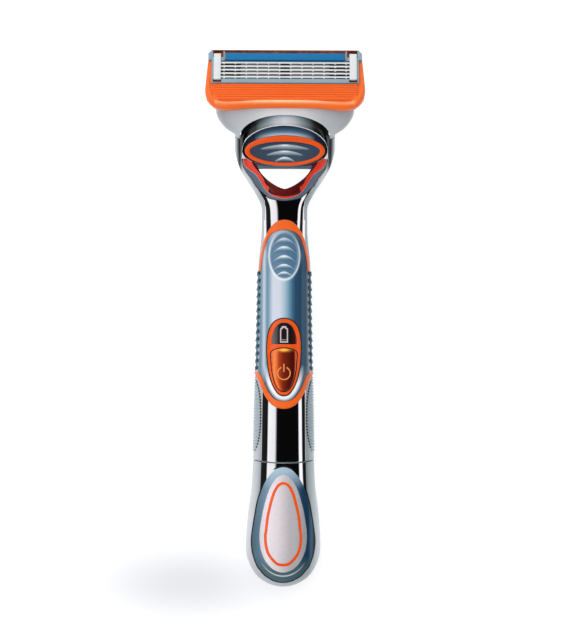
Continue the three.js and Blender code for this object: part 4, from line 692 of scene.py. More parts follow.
# Painted light across the cap's face: paler to the left, shaded to the right.
FACE_LIGHTING = [
    (-6.5, (212, 206, 212)), (-4.2, (230, 221, 228)), (-1.5, (222, 213, 219)),
    (1.8, (184, 179, 183)), (3.4, (182, 180, 185)), (5.4, (158, 158, 163)),
    (6.5, (150, 150, 156)),
]
pale_pearl = across("pale_pearl", 6.5, FACE_LIGHTING, 0.4, 0.16, 0.1, Metallic=0.1)
frame_blue = finish(
    "frame_blue", tone(150, 174, 186), 0.2, second=tone(112, 138, 152), Coat_Weight=0.6, relief=0.04
)
gel_blue = finish(
    "gel_blue", tone(8, 118, 172), 0.5, second=tone(4, 104, 158), stretch=(0.1, 6, 1), relief=0.5
)
clear_grey = finish("clear_grey", tone(126, 140, 146), 0.12, Coat_Weight=1.0, relief=0.02)
tray_amber = finish(
    "tray_amber", tone(150, 66, 30), 0.25, second=tone(46, 24, 18), mottle=0.9,
    mottle_size=700.0, Coat_Weight=0.6,
)
steel = finish("steel", tone(232, 234, 236), 0.3, Metallic=0.3, stretch=(0.05, 4, 1), relief=0.1)
dull_steel = finish("dull_steel", tone(128, 129, 130), 0.35, Metallic=0.4, relief=0.1)
# Painted light across the carrier: lightest in the middle, darker towards the wings.
YOKE_LIGHTING = both_ways(
    [(0, (236, 238, 241)), (4.5, (228, 232, 236)), (7.7, (208, 214, 218)), (10, (194, 201, 205))]
    + [(13, (184, 190, 196)), (16, (172, 176, 182)), (18.2, (186, 188, 193))]
)
pale_satin = across("pale_satin", 18.2, YOKE_LIGHTING, 0.34, 0.05, 0.06, Metallic=0.15)


def amber_finish():
    """Clear amber over a lamp: a painted reflection bright down one side, painted shade across the
    middle, and aglow at the top.
    """
    shade = Shade(
        "amber", Roughness=0.14, Coat_Weight=0.8, Coat_Roughness=0.06, Emission_Strength=0.5
    )
    x, y, z = shade.axes()
    bands = [
        (0.0, (214, 72, 30)), (0.06, (236, 92, 30)), (0.15, (236, 130, 34)),
        (0.22, (230, 102, 22)), (0.32, (176, 64, 24)), (0.45, (126, 40, 20)),
        (0.56, (106, 32, 15)), (0.68, (88, 24, 11)), (0.8, (70, 16, 9)), (0.88, (70, 18, 10)),
        (0.92, (214, 80, 34)), (1.0, (190, 66, 28)),
    ]
    toe = ((y * -1 + 0.005) / 0.0058).clipped()
    # Painted reflection and painted shade in bands across the key, narrower towards its toe.
    depth = shade.ramp(toned(bands), x / ((toe * toe * -0.6 + 1.0) * 0.0072) + 0.5)
    dx, dy = x * 760, (y - 0.0101) * 2400
    glow = shade.sum("EXPONENT", (dx * dx + dy * dy) * -1)
    grain = shade.noise(1800, 3.0)
    lit = shade.mix(glow * 0.9, depth, tone(255, 190, 70))
    shade.feed("Base Color", shade.mix((grain - 0.4).clipped() * 0.5, lit, tone(120, 30, 14)))
    shade.feed("Emission Color", shade.mix(glow, tone(0, 0, 0), tone(255, 150, 30)))
    return shade.material


amber = amber_finish()
black_gloss = finish("black_gloss", tone(22, 20, 22), 0.1, Coat_Weight=1.0, relief=0.02)
# Painted reflections on the battery window: a grey sheen on the left, darkening to reddish black on
# the right.
PANE_REFLECTIONS = [
    (-3.4, (118, 106, 104)), (-2.5, (74, 66, 68)), (-1.2, (34, 28, 32)), (1.6, (24, 20, 22)),
    (3.4, (70, 22, 18)),
]
pane_black = across("pane_black", 3.4, PANE_REFLECTIONS, 0.12, 0.02, 0.02, Coat_Weight=0.6)
grey_plastic = finish("grey_plastic", tone(120, 124, 128), 0.45)
red_trim = finish("red_trim", tone(232, 60, 30), 0.28, second=tone(214, 48, 26), Coat_Weight=0.4)
# The red trim's colour darkened, as painted shade.
red_trim_in_shade = finish("red_trim_in_shade", tone(120, 22, 16), 0.3, second=tone(30, 8, 8), Coat_Weight=0.6)
board_green = finish("board_green", tone(30, 96, 60), 0.4, second=tone(24, 80, 52))
cell_wrap = finish("cell_wrap", tone(54, 58, 66), 0.3, Coat_Weight=0.5)
lamp_white = finish("lamp_white", tone(232, 234, 226), 0.3)
black_rubber = finish("black_rubber", tone(16, 16, 18), 0.55, relief=0.3)
mark_pale = finish("mark_pale", tone(204, 186, 188), 0.4, relief=0.0)
mark_amber = finish("mark_amber", tone(236, 140, 74), 0.3, relief=0.0)

SLOT_FINISH = {
    "satin_silver": satin_silver, "chrome": chrome, "orange_elastomer": orange_rubber,
    "orange_plastic": orange_plastic, "pearl_blue": pearl_blue, "dark_blue_grip": grip_blue,
    "pearl_silver": pale_pearl, "clear_blue": frame_blue, "blue_gel": gel_blue,
    "bright_steel": steel, "amber": amber, "black_gloss": black_gloss,
    "grey_plastic": grey_plastic, "board_green": board_green, "cell_wrap": cell_wrap,
    "red_trim": red_trim, "lamp_white": lamp_white, "black_rubber": black_rubber,
}

for entry in frame["record"]["subparts"]:
    mesh = frame["nodes"][entry["node"]].data
    mesh.materials.clear()
    mesh.materials.append(SLOT_FINISH[entry["material_slot"]])


def piece(name, bm, body, materials, replaces=(), sharp=40.0, tint=None):
    """Makes a finished piece that moves with a body, with painted light where a rule gives some."""
    bmesh.ops.remove_doubles(bm, verts=bm.verts, dist=1e-4)
    bmesh.ops.recalc_face_normals(bm, faces=bm.faces)
    shades = [tint(v.co) for v in bm.verts] if tint else None
    bmesh.ops.scale(bm, vec=(MM, MM, MM), verts=bm.verts)
    mesh = bpy.data.meshes.new(name)
    bm.to_mesh(mesh)
    bm.free()
    mesh.polygons.foreach_set("use_smooth", [True] * len(mesh.polygons))
    mesh.set_sharp_from_angle(angle=math.radians(sharp))
    if shades:
        mesh.attributes.new("tint", "FLOAT", "POINT").data.foreach_set("value", shades)
    for material in materials if isinstance(materials, (list, tuple)) else [materials]:
        mesh.materials.append(material)
    obj = bpy.data.objects.new(name, mesh)
    bpy.context.scene.collection.objects.link(obj)
    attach(obj, body)
    if replaces:
        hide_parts(*replaces)
    return obj


# Handle
def handle_tube():
    cavity = [body_ring(y, -1.5, -1.5, -1.5) for y in span(42.5, 0.0, 2.5)]
    bore = [round_ring(-1.5, BORE_RADIUS), round_ring(-24.4, BORE_RADIUS)]
    spigot = [round_ring(-24.4, 6.05), round_ring(-24.1, 6.15), round_ring(-19.3, 6.15)]
    seam = [dipped(body_ring(-18.99, -0.1, -0.1, -0.1)), dipped(body_ring(-18.9))]
    seam += [dipped(body_ring(y), dip_at(y)) for y in (-18.5, -17.7, -16.9, -16.1)]
    outer = [body_ring(y) for y in span(-15.5, GRIP_END_Y, 1.6)]
    return skin_over(cavity + bore + spigot + seam + outer)


piece("tube", handle_tube(), "handle", satin_silver, ["handle_body"])

SPINE = [(-19, 0.725), (-3.97, 0.74), (19.99, 0.8), (40.03, 0.88), (44.4, 0.9)]


def strip_outline(start, end, shares, step=2.0):
    right = [(row_value(shares, y) * half_at(y), y) for y in span(start, end, step)]
    return right + [(-x, y) for x, y in reversed(right)]


def seam_bent(bm):
    """Bends the end of a strip to follow the seam of the cap."""
    for v in bm.verts:
        v.co.y -= dip_at(v.co.y) * (1 - (v.co.x / half_at(v.co.y)) ** 2)
    return bm


BUTTON = [
    (0, -0.8), (0.95, -0.5), (1.75, 0.3), (2.38, 1.6), (2.78, 3.0), (3.04, 4.3), (3.25, 6.0),
    (3.37, 7.6), (3.45, 8.8), (3.28, 9.5), (2.7, 10.0), (1.5, 10.4), (0, 10.55),
]


def key_room(by):
    """What the power key takes up as it is pressed in."""
    return through(shifted(outline(BUTTON, 3), by))


spine = plate(strip_outline(-18.95, GRIP_END_Y, SPINE, 1.0), -0.7, 0.05, 0.05)
spine = seam_bent(carved(draped(sliced(spine, 0.4, 0.6)), key_room(0.1)))
piece("spine_strip", spine, "handle", chrome, ["chrome_spine"])

RIM = [
    (0, -5.47), (1.2, -5.3), (2.1, -5.0), (3.3, -4.25), (4.3, -3.1), (4.95, -2.1), (5.6, -0.8),
    (6.1, 0.5), (6.5, 1.5), (7.0, 2.4), (7.55, 3.2), (7.8, 4.4), (7.3, 8), (7.05, 12), (6.9, 20),
    (6.85, 28), (6.8, 31.3), (6.65, 33.0), (6.4, 34.8), (5.95, 37.0), (5.4, 39.1), (4.9, 40.3),
    (4.3, 41.5), (3.4, 42.8), (2.35, 43.75), (1.4, 44.25), (0, 44.45),
]
PANEL = [
    (0, -3.6), (1.5, -3.4), (2.9, -2.65), (4.1, -1.25), (4.86, 0.05), (5.9, 2.7), (6.5, 3.6),
    (6.9, 4.7), (6.8, 6.4), (6.6, 9), (6.6, 16), (6.5, 24), (6.4, 29.5), (6.25, 32.0),
    (5.9, 34.5), (5.3, 37.2), (4.5, 39.5), (3.6, 40.75), (2.4, 41.5), (1.2, 41.9), (0, 42.0),
]


def rim_band():
    room = plate(shifted(outline(PANEL), -0.12), -3, 3)
    return carved(plate(outline(RIM), -0.5, 0.62, 0.4), room)


for name, ends in (("upper", {"low": 30.9}), ("lower", {"high": 4.3})):
    rim = draped(sliced(kept(rim_band(), 1, **ends), 0.5, 0.6), 0.1)
    piece("rim_" + name, rim, "handle", orange_rubber, ["grip_rim_" + name])


THUMB_Y = 34.95
THUMB_HALF = (3.95, 6.25)
RIDGES = [
    (39.95, 38.0, 3.05, 2.3), (37.75, 35.85, 3.42, 2.6), (35.35, 33.45, 3.42, 2.6),
    (33.0, 31.3, 2.95, 2.0), (30.95, 29.5, 1.85, 0.9),
]


def step_up(low, high, value):
    t = min(max((value - low) / (high - low), 0), 1)
    return t * t * (3 - 2 * t)


def ridge_at(x, y):
    """Which part of a crescent ridge a place is on, from its upper to its lower edge."""
    for top, foot, half, drop in RIDGES:
        if abs(x) < half:
            fall = (x / half) ** 2
            upper_edge, lower_edge = top - drop * fall, foot - drop * 0.42 * fall**2
            if lower_edge < y < upper_edge:
                return (upper_edge - y) / (upper_edge - lower_edge), math.sqrt(1 - fall)
    return None


def thumb_reach(x, y):
    return math.hypot(x / THUMB_HALF[0], (y - THUMB_Y) / THUMB_HALF[1])


def thumb_relief(x, y):
    """The rimmed oval of the thumb rest with its five crescent ridges."""
    reach = thumb_reach(x, y)
    height = -0.4 * (1 - step_up(0.78, 0.98, reach))
    height += 0.14 * bell(reach, 1.02, 0.05)
    ridge = ridge_at(x, y)
    if ridge:
        t, tall = ridge
        height += 0.6 * tall * swell(t)
    return height


def panel_form():
    body = plate(outline(PANEL), -0.3, 0.9, 0.5)
    low, high = THUMB_Y - THUMB_HALF[1] - 0.6, THUMB_Y + THUMB_HALF[1] + 0.6
    for axis, places in (
        (0, span(-6.8, 6.8, 0.5) + span(-4.3, 4.3, 0.14)),
        (1, span(-2.9, low, 0.8) + span(low, high, 0.14) + span(high, 42.0, 0.4)),
    ):
        for place in places:
            cut_at(body, axis, place)
    edge = crowned(outline(PANEL), 0.5, 2.0)
    return draped(body, 0.15, 0.0, lambda x, y: thumb_relief(x, y) + edge(x, y))


def panel_painted_light(co):
    """Painted light for the thumb rest: a painted highlight on each ridge's upper edge, painted
    shade at its foot and between the ridges, and a painted highlight along the rim.
    """
    x, y = co.x, co.y
    reach = thumb_reach(x, y)
    rim = bell(reach, 1.02, 0.05) * (0.85 if y < 37 else 0.85 - (y - 37) * 0.14)
    if reach > 1.05:
        return rim
    glow = bell(x, -0.2, 1.5)
    ridge = ridge_at(x, y)
    if not ridge:
        wall = 0.3 * bell(reach, 0.9, 0.05)
        return max(rim, wall - 0.65 + 0.5 * min(abs(x) / 3, 1) ** 2)
    t = ridge[0]
    lit = bell(t, 0.26, 0.17) * (0.3 + 0.7 * glow)
    lit += 0.16 * bell(t, 0.55, 0.2) * glow
    return max(rim, lit - step_up(0.62, 0.9, t) - 0.7 * step_up(0.14, 0.0, t))


panel = carved(panel_form(), key_room(0.3))
piece("front_panel", panel, "handle", pearl_blue, ["front_grip"], tint=panel_painted_light)

BEZEL = [
    (0, -1.95), (1.3, -1.55), (2.3, -0.35), (3.04, 1.06), (3.7, 3.0), (4.2, 5.5), (4.47, 8.2),
    (4.56, 10.8), (4.43, 13.1), (4.12, 14.8), (3.6, 16.2), (2.75, 17.35), (1.5, 18.15),
    (0, 18.42),
]
WINDOW = [
    (0, 11.62), (2.9, 11.62), (3.3, 12.1), (3.23, 13.3), (2.87, 14.75), (2.18, 16.2),
    (1.15, 17.1), (0, 17.3),
]
bezel = carved(
    plate(outline(BEZEL), -0.2, 1.05, 0.3),
    plate(shifted(outline(WINDOW, 3), 0.02), -2, 3),
    plate(shifted(outline(BUTTON, 3), 0.24), -2, 3),
)
bezel = draped(sliced(bezel, 0.5, 0.7), 0.15)
piece("switch_surround", bezel, "handle", orange_plastic, ["switch_bezel"])
gasket = sliced(plate(shifted(outline(BEZEL), 0.17), 0.2, 1.0, 0.05), 0.5, 0.7)
gasket = carved(draped(gasket, 0.15), through(shifted(outline(BEZEL), -0.3)))
piece("switch_gasket", gasket, "handle", black_rubber)
# A black well round the key, standing in for the shade down the gap between key and surround.
well = sliced(plate(shifted(outline(BUTTON, 3), 0.4), -0.6, 0.98), 0.5, 0.7)
well = carved(draped(well, 0.15), key_room(0.03))
piece("switch_well_shade", well, "handle", black_rubber)
pane = sliced(plate(outline(WINDOW, 3), 0.1, 1.02, 0.15), 0.5, 0.7)
piece("window_pane", draped(pane, 0.15), "handle", pane_black, ["battery_window"])
key = sliced(plate(outline(BUTTON, 3), -0.3, 1.3, 0.3), 0.5, 0.7)
piece("power_key_cap", draped(key, 0.15), "power_key", amber, ["power_button"])


def ring_mark(radius, width, centre, height, gap=0.0):
    """A thin ring, with a gap at its top."""
    count = 40
    start, end = math.pi / 2 + gap, math.pi / 2 + math.tau - gap
    turns = [start + (end - start) * i / count for i in range(count + 1)]
    outer = [(radius * math.cos(t), centre + radius * math.sin(t)) for t in turns]
    inner = [
        ((radius - width) * math.cos(t), centre + (radius - width) * math.sin(t)) for t in turns
    ]
    return plate(outer + inner[::-1], height - 0.1, height + 0.015)


power = joined(
    ring_mark(1.83, 0.34, 3.96, 1.3, 0.42),
    plate([(-0.17, 4.33), (0.17, 4.33), (0.17, 6.47), (-0.17, 6.47)], 1.2, 1.315),
)
piece("power_mark", draped(sliced(power, 0.5, 0.7), 0.15), "power_key", mark_amber)


def cell_outline():
    """The line of a battery: straight sides, cut shoulders and a small nub."""
    right = [(0, 12.02), (1.06, 12.02), (1.06, 15.62), (0.8, 15.95), (0.62, 15.98), (0.62, 16.35)]
    inner = [(0, 12.36), (0.72, 12.36), (0.72, 15.45), (0.55, 15.62), (0.3, 15.66), (0.3, 15.9)]
    body = plate(mirrored(right + [(0, 16.4)]), 0.9, 1.035)
    return carved(body, plate(mirrored(inner + [(0, 15.9)]), 0, 3))


cell_mark = joined(
    cell_outline(),
    plate([(-0.62, 12.7), (0.62, 12.7), (0.62, 12.82), (-0.62, 12.82)], 0.9, 1.03),
)
piece("battery_mark", draped(sliced(cell_mark, 0.5, 0.7), 0.15), "handle", mark_pale)


def rib_inner(y):
    return 6.2 + 1.1 * (abs(y + 7) / 8.8) ** 2.6


def side_ribs(side):
    """Fine ribs across the side of the tube, inside a long curved edge, with painted shade in their
    grooves.
    """
    rings = []
    for i in range(104):
        out = 1 if i % 4 < 2 else 0
        rings.append(body_ring(2.9 - i * 0.1925, out * 0.28 - 0.02, 0, out * 0.08 - 0.02))
    sleeve = skin_over(rings)
    edge = [(rib_inner(y), y) for y in span(-18, 4, 1)]
    middle = plate([(-x, y) for x, y in edge] + edge[::-1], -30, 40)
    sleeve = carved(kept(sleeve, 2, 3.0, 14.2), middle)
    sleeve = kept(sleeve, 0, 0.5) if side > 0 else kept(sleeve, 0, None, -0.5)
    return painted(sleeve, lambda p: 1 if 0.3 < (2.9 - p.y) / 0.77 % 1 < 0.95 else 0)


for name, side in (("right", 1), ("left", -1)):
    ribs, finishes = side_ribs(side), [satin_silver, rib_groove_painted_shade]
    taken = ["side_grip_" + name]
    piece("side_ribs_" + name, ribs, "handle", finishes, taken, sharp=20)
dots = []
for i in range(24):
    y = 2.3 - i * 0.777
    x = rib_inner(y) - 0.14
    if x < half_at(y) - 0.3:
        for at in (-x, x):
            z = face_height(at, y)
            dots.append(rod((at, y, z - 0.3), (at, y, z + 0.16), 0.25, 0.03, 12))
piece("side_dots", joined(*dots), "handle", black_rubber)
nubs = []
for i in range(14):
    for side in (-1, 1):
        y = 5.3 + i * 1.93
        ball = bmesh.new()
        place = Matrix.Translation((side * (half_at(y) + 0.1), y, 8.6))
        place = place @ Matrix.Scale(1.6, 4, (0, 0, 1))
        bmesh.ops.create_uvsphere(ball, u_segments=16, v_segments=10, radius=0.53, matrix=place)
        nubs.append(ball)
piece("grip_nubs", joined(*nubs), "handle", nub_blue)


# Battery cap
def cap_form():
    socket = [round_ring(-43.5, BORE_RADIUS), round_ring(-24.7, BORE_RADIUS)]
    mouth = [round_ring(-24.7, 6.65), round_ring(-19.3, 6.65)]
    rim = [dipped(body_ring(-19.2, -0.1, -0.1, -0.1)), dipped(body_ring(-19.3))]
    rim += [dipped(body_ring(y), dip_at(y)) for y in (-19.8, -20.6, -21.6)]
    outer = [body_ring(y) for y in span(-23.1, -50.2, 1.1) + span(-50.4, -52.55, 0.18)]
    last = [body_ring(-52.6, -0.3, -0.6, -0.6)]
    return skin_over(socket + mouth + rim + outer + last)


piece("cap_shell", cap_form(), "cap", satin_silver, ["end_cap"])

PAD = [
    (0, -51.43), (2.1, -51.1), (3.4, -50.46), (4.9, -49.5), (6.1, -48.1), (6.95, -47.0),
    (8.0, -44.25), (8.45, -41.74), (8.5, -39.5), (8.0, -35.67), (7.5, -32.7), (7.2, -30.86),
    (6.7, -28.8), (5.8, -26.07), (4.95, -24.25), (3.7, -22.43), (2.05, -20.95), (0, -20.45),
]
BADGE = [
    (0, -48.61), (1.9, -48.15), (3.3, -47.2), (4.75, -45.5), (5.8, -43.06), (6.25, -40.7),
    (6.3, -38.0), (5.85, -34.6), (5.2, -31.3), (4.1, -27.55), (2.95, -25.05), (1.6, -23.35),
    (0, -22.75),
]
LINE = [
    (0, -46.9), (1.45, -46.68), (2.6, -45.86), (4.15, -43.86), (4.9, -41.48), (5.07, -38.84),
    (4.9, -37.5), (4.5, -33.9), (3.65, -30.06), (2.7, -27.08), (1.5, -25.23), (0, -24.6),
]
strip = plate(strip_outline(-29.0, -19.28, [(-29, 0.72), (-19, 0.725)]), -0.6, 0.05)
strip = seam_bent(draped(sliced(strip, 0.4, 0.5)))
piece("cap_strip", strip, "cap", chrome)
pad_edge = crowned(outline(PAD), 0.55, 1.9)
# A black sheet just wider than the pad, standing in for the shade in the joint round it.
seat = sliced(plate(shifted(outline(PAD), 0.05), -0.6, 0.04), 0.35, 0.5)
piece("cap_grip_seat_shade", draped(seat), "cap", black_rubber)
pad = draped(sliced(plate(outline(PAD), -0.5, 0.5, 0.3), 0.35, 0.5), 0, -0.1, pad_edge)
piece("cap_grip", pad, "cap", deep_blue, ["cap_pad"])
badge = draped(sliced(plate(outline(BADGE), -0.3, 0.44, 0.16), 0.5, 0.8))
piece("cap_face", badge, "cap", pale_pearl, ["cap_badge"])
drop = carved(plate(outline(LINE), 0.0, 0.48, 0.1), plate(shifted(outline(LINE), -0.75), -1, 2))
drop = draped(sliced(drop, 0.5, 0.8))
piece("cap_drop", drop, "cap", orange_plastic, ["cap_line"])


# Neck with its loop and the nose of the dock
def hole_outline(by=0.0):
    right = []
    for i in range(25):
        angle = math.pi / 2 * i / 24
        x = (6.9 + by) * math.sin(angle) ** (2 / 1.4)
        right.append((x, 58.0 + by - (5.4 + 2 * by) * math.cos(angle) ** (2 / 1.4)))
    return mirrored(right)


def nose_outline(by=0.0, tail=5.0):
    turns = [math.pi * i / 40 for i in range(41)]
    arc = [((11.6 + by) * math.cos(t), -9 + (6.25 + by) * math.sin(t)) for t in turns]
    return [(11.6 + by, -9 - tail)] + arc + [(-11.6 - by, -9 - tail)]


DISH_Y = -12.31


def pocket_room(by=0.0):
    return placed(plate(oval(11.25 + by, 5.15 + by, 6.9 + by, DISH_Y), -0.9, 20), DOCK)


LINER = [
    (0, 49.5), (3.7, 50.1), (4.9, 50.9), (6.3, 52.1), (7.74, 53.6), (8.75, 55.3), (9.75, 56.6),
    (10.9, 58.6), (11.2, 61.0),
]
TRIM = [
    (0, 50.0), (2.88, 50.6), (4.5, 51.7), (5.7, 53.3), (6.74, 55.0), (7.74, 56.4), (9.17, 57.4),
    (10.67, 58.8), (10.96, 61.0),
]


TRIM_INNER = [
    (0, 50.55), (3.3, 51.15), (4.3, 51.95), (4.0, 52.9), (4.95, 53.75), (5.6, 55.2), (6.35, 56.4),
    (7.4, 57.6), (8.5, 59.1), (8.9, 61.0),
]


def half_outline(rows):
    """A closed outline that is smooth below and straight across the top."""
    (x0, y0), (x1, y1) = rows[-2:]
    ahead = rows + [(x1 + (x1 - x0) * 0.5, y1 + (y1 - y0) * 0.8), (x1, y1 + (y1 - y0) * 2)]
    return [p for p in flowing(mirrored(ahead), 3) if p[1] <= y1 + 1e-6]


def visor_ring(t, height):
    """A ring of the nose, from its foot out at the yoke to the edge of the button's pocket."""
    half, reach, middle = 11.6 - 0.28 * t, 6.25 + 0.7 * t, -9 - 3.31 * t
    turns = [math.pi * i / 60 for i in range(61)]
    arc = [(half * math.cos(a), middle + reach * math.sin(a), height) for a in turns]
    return [(half, -14.5, height)] + arc + [(-half, -14.5, height)]


def neck_form():
    rings = [body_ring(y) for y in span(44.4, 70, 0.8)]
    rings[0] = body_ring(44.42, -0.03, -0.03, -0.03)
    paddle = skin_over(rings)
    ahead = placed(brick((-30, -9.7, -40), (30, 30, 40)), DOCK)
    paddle = carved(paddle, ahead)
    rows = [(0, -4.3), (0, -1.0), (0.03, -0.55), (0.12, 0.0), (0.3, 0.62), (0.5, 1.12)]
    rows += [(0.7, 1.5), (0.86, 1.74), (0.95, 1.87), (1.0, 1.9)]
    nose = placed(skin_over([visor_ring(t, z) for t, z in rows]), DOCK)
    solid = carved(paddle, nose, operation="UNION")
    throat = draped(sliced(plate(half_outline(TRIM_INNER), -1.3, 6), 0.6, 0.6))
    chamber = placed(brick((-7.6, -15.8, -3.75), (7.6, -4.9, 0)), DOCK)
    hole = through(hole_outline())
    under = placed(plate(oval(11.15, 5.0, 6.7, DISH_Y + 1.85), -0.88, 0.7), DOCK)
    lip = placed(plate(oval(11.1, 4.9, 5.95, DISH_Y + 1.85), 0.6, 1.2), DOCK)
    return carved(solid, pocket_room(), under, lip, chamber, hole, throat)


# Picks the neck's satin, the visor's painted chrome reflections, or the painted highlight along the
# visor's inner edge.
def nose_rule(middle):
    point = DOCK.inverted() @ middle
    if abs(point.x) > 11.75 or point.z < -4.4 or point.y < -14.6:
        return 0
    if point.y < -9.8 and middle.z < face_height(middle.x, middle.y) + 0.1 and point.z > -0.8:
        return 0
    return 2 if point.z > 1.86 and point.y > -11 and abs(point.x) < 10.6 else 1


neck, finishes = painted(neck_form(), nose_rule), [neck_satin, visor_painted_chrome, visor_edge_highlight]
piece("neck", neck, "handle", finishes, ["neck_loop"])
NECK_STRIP = [
    (0, 43.9), (5.2, 43.9), (5.15, 47.5), (5.4, 49.6), (6.6, 51.6), (7.9, 53.5), (9.1, 55.3),
    (10.2, 57.0), (11.2, 59.0), (11.55, 61.2), (0, 61.2),
]
strip = draped(sliced(plate(mirrored(NECK_STRIP), -0.6, 0.05, 0.05), 0.4, 0.5), 0, 0.01)
strip = carved(strip, through(shifted(half_outline(LINER), 0.1)), pocket_room(0.1))
piece("neck_strip", strip, "handle", chrome)
liner = sliced(plate(half_outline(LINER), -1.1, 0.03, 0.12), 0.6, 0.6)
liner = carved(draped(liner), through(shifted(half_outline(TRIM), 0.05)), pocket_room(0.1))
piece("loop_lining", liner, "handle", slate_blue, ["loop_liner"])
# A black sheet just wider than the lining, standing in for the shade in the gap round it.
gap = sliced(plate(shifted(half_outline(LINER), 0.22), -0.9, 0.02), 0.6, 0.6)
gap = carved(draped(gap, 0, 0.06), through(half_outline(LINER)), pocket_room(0.1))
piece("lining_gap_shade", gap, "handle", black_rubber)
trim = sliced(plate(half_outline(TRIM), -2.2, 0.1, 0.25), 0.6, 0.6)
opening = through(shifted(half_outline(TRIM_INNER), 0.02))
trim = carved(draped(trim), opening, pocket_room(0.1))
piece("loop_edge", trim, "handle", red_trim, ["loop_trim"])
# The loop's inner wall, in the red trim's colour darkened as painted shade.
throat = sliced(plate(shifted(half_outline(TRIM_INNER), 0.1), -2.6, -1.05), 0.6, 0.6)
throat = carved(draped(throat), through(hole_outline()), pocket_room(0.1))
piece("loop_throat", throat, "handle", red_trim_in_shade)
bar = plate([(-7.1, 57.85), (7.1, 57.85), (7.3, 58.75), (-7.3, 58.75)], -3, -0.7, 0.25)
piece("loop_bar", draped(sliced(bar)), "handle", slate_blue)


# Release button: base, dome, orange ring and a dish with three crescents
def egg_rings(rows):
    return [
        [(x, y, height) for x, y in oval(half, back, front, DISH_Y)]
        for half, back, front, height in rows
    ]


def dish_relief(x, y):
    height = 0.0
    for half, top, deep in ((6.35, 1.75, 1.5), (4.75, 0.05, 1.4), (2.6, -1.7, 1.15)):
        if abs(x) >= half:
            continue
        arch = 1 - (x / half) ** 2
        t = (DISH_Y + top - 1.2 * (1 - arch) - y) / (deep * (0.3 + 0.7 * arch))
        if 0 < t < 1:
            height += 0.42 * math.sqrt(arch) * swell(t)
    return height


def dish_reach(x, y):
    return math.hypot(x / 9.3, (y - DISH_Y + 0.32) / 2.97)


def button_form():
    base = plate(oval(10.9, 4.85, 6.62, DISH_Y), -0.7, 0.68, 0.15)
    rows = [(10.85, 4.65, 5.75, 0.6), (10.85, 4.65, 5.6, 0.75), (10.83, 4.6, 5.35, 1.0)]
    rows += [(10.75, 4.5, 4.85, 1.3), (10.62, 4.4, 4.5, 1.6), (10.5, 4.25, 4.3, 1.85)]
    dome = skin_over(egg_rings(rows + [(9.3, 3.28, 2.62, 1.85)]))
    dish = sliced(plate(oval(9.3, 3.3, 2.65, DISH_Y), 1.0, 1.88), 0.16, 0.12)
    for v in dish.verts:
        if v.co.z > 1.5:
            v.co.z += 0.12 * min(dish_reach(v.co.x, v.co.y), 1) ** 2 + dish_relief(v.co.x, v.co.y)
    return placed(joined(base, dome, dish), DOCK)


def ring_form():
    rows = [(0, 1.85), (0, 2.1), (0.1, 2.25), (0.28, 2.34), (0.53, 2.36), (0.78, 2.3)]
    rows += [(0.94, 2.2), (1, 2.0), (1, 1.85)]
    rings = [(10.55 - 1.35 * k, 4.15 - 0.9 * k, 4.15 - 1.58 * k, z) for k, z in rows]
    return placed(skin_over(egg_rings(rings), closed=True), DOCK)


# Painted light for the dish: a painted highlight on the crest and one slope of each crescent, and a
# little painted shade on the other.
def button_painted_light(co):
    point = DOCK.inverted() @ co
    if point.z < 1.6 or dish_reach(point.x, point.y) > 1:
        return 0.0
    x, y = point.x, point.y
    slope = (dish_relief(x, y + 0.07) - dish_relief(x, y - 0.07)) / 0.14
    glow = 0.45 + 0.75 * bell(x, 0, 1.2)
    lit = max(-slope, 0) * 0.62 * glow + dish_relief(x, y) * 0.9
    return lit - max(slope, 0) * 0.1


cap, taken = button_form(), ["release_button"]
piece("release_cap", cap, "release", button_blue, taken, tint=button_painted_light)
piece("release_ring", ring_form(), "release", orange_plastic, ["button_ring"])

# Connector that carries the cartridge
YOKE = [
    (0, 13.2), (0.075, 13.3), (0.182, 15.2), (0.28, 16.25), (0.374, 17.0), (0.48, 17.7),
    (0.589, 18.1), (0.72, 18.2), (1, 18.2),
]


def yoke_form():
    low, high = -5.45, 1.9
    halves = [(-9.5 + share * 10.7, half) for share, half in YOKE]
    rings = []
    for y in span(-9.5, 1.2, 0.35):
        ring = []
        for i in range(64):
            wide, tall = section_point(math.tau * i / 64)
            z = (low + high) / 2 + (high - low) / 2 * tall
            ring.append((row_value(halves, y) * wide, y, z))
        rings.append(ring)
    shell = skin_over(rings)
    socket = plate(nose_outline(0.3, 12), -4.6, 30)
    corners = [(1.7 + 30, -30), (1.7 - 30, 30), (1.7 + 30, 30)]
    ahead = swept([(-30, y, z) for y, z in corners], (60, 0, 0))[0]
    opening = brick((-2.4, -2.3, -30), (2.4, 30, 0.7))
    shell = carved(shell, socket, ahead, opening)
    arms = []
    for side in (-1, 1):
        arms.append(rod((side * 15.9, 0, 0), (side * 18.2, 0, 0), 1.35, 0.2))
        arms.append(rod((side * 18.1, 0, 0), (side * 19.2, 0, 0), 0.8, 0.15))
    return placed(joined(shell, *arms), DOCK)


piece("carrier", yoke_form(), "yoke", pale_satin, ["connector_yoke"])

# Cartridge, drawn flat in its own frame and tipped into place
def tray_form():
    side = [(19.3, 4.2), (19.3, 11.05), (20.2, 11.05), (20.2, 12.9), (19.3, 13.95)]
    tray = plate(side + [(-x, y) for x, y in reversed(side)], 1.6, 4.5, 0.14)
    window = brick((-17.7, 5.35, 2.0), (17.7, 10.75, 20))
    rinse = brick((-16.1, 5.35, -5), (16.1, 10.75, 20))
    bed = brick((-15.85, 10.6, 3.7), (15.85, 13.5, 20))
    holes = [
        brick((min(x, end), low, -5), (max(x, end), high, 20))
        for sign in (-1, 1)
        for x, end, low, high in (
            (16.75 * sign, 18.95 * sign, 4.35, 5.3),
            (16.25 * sign, 18.95 * sign, 11.75, 13.65),
        )
    ]
    return carved(tray, window, rinse, bed, *holes)


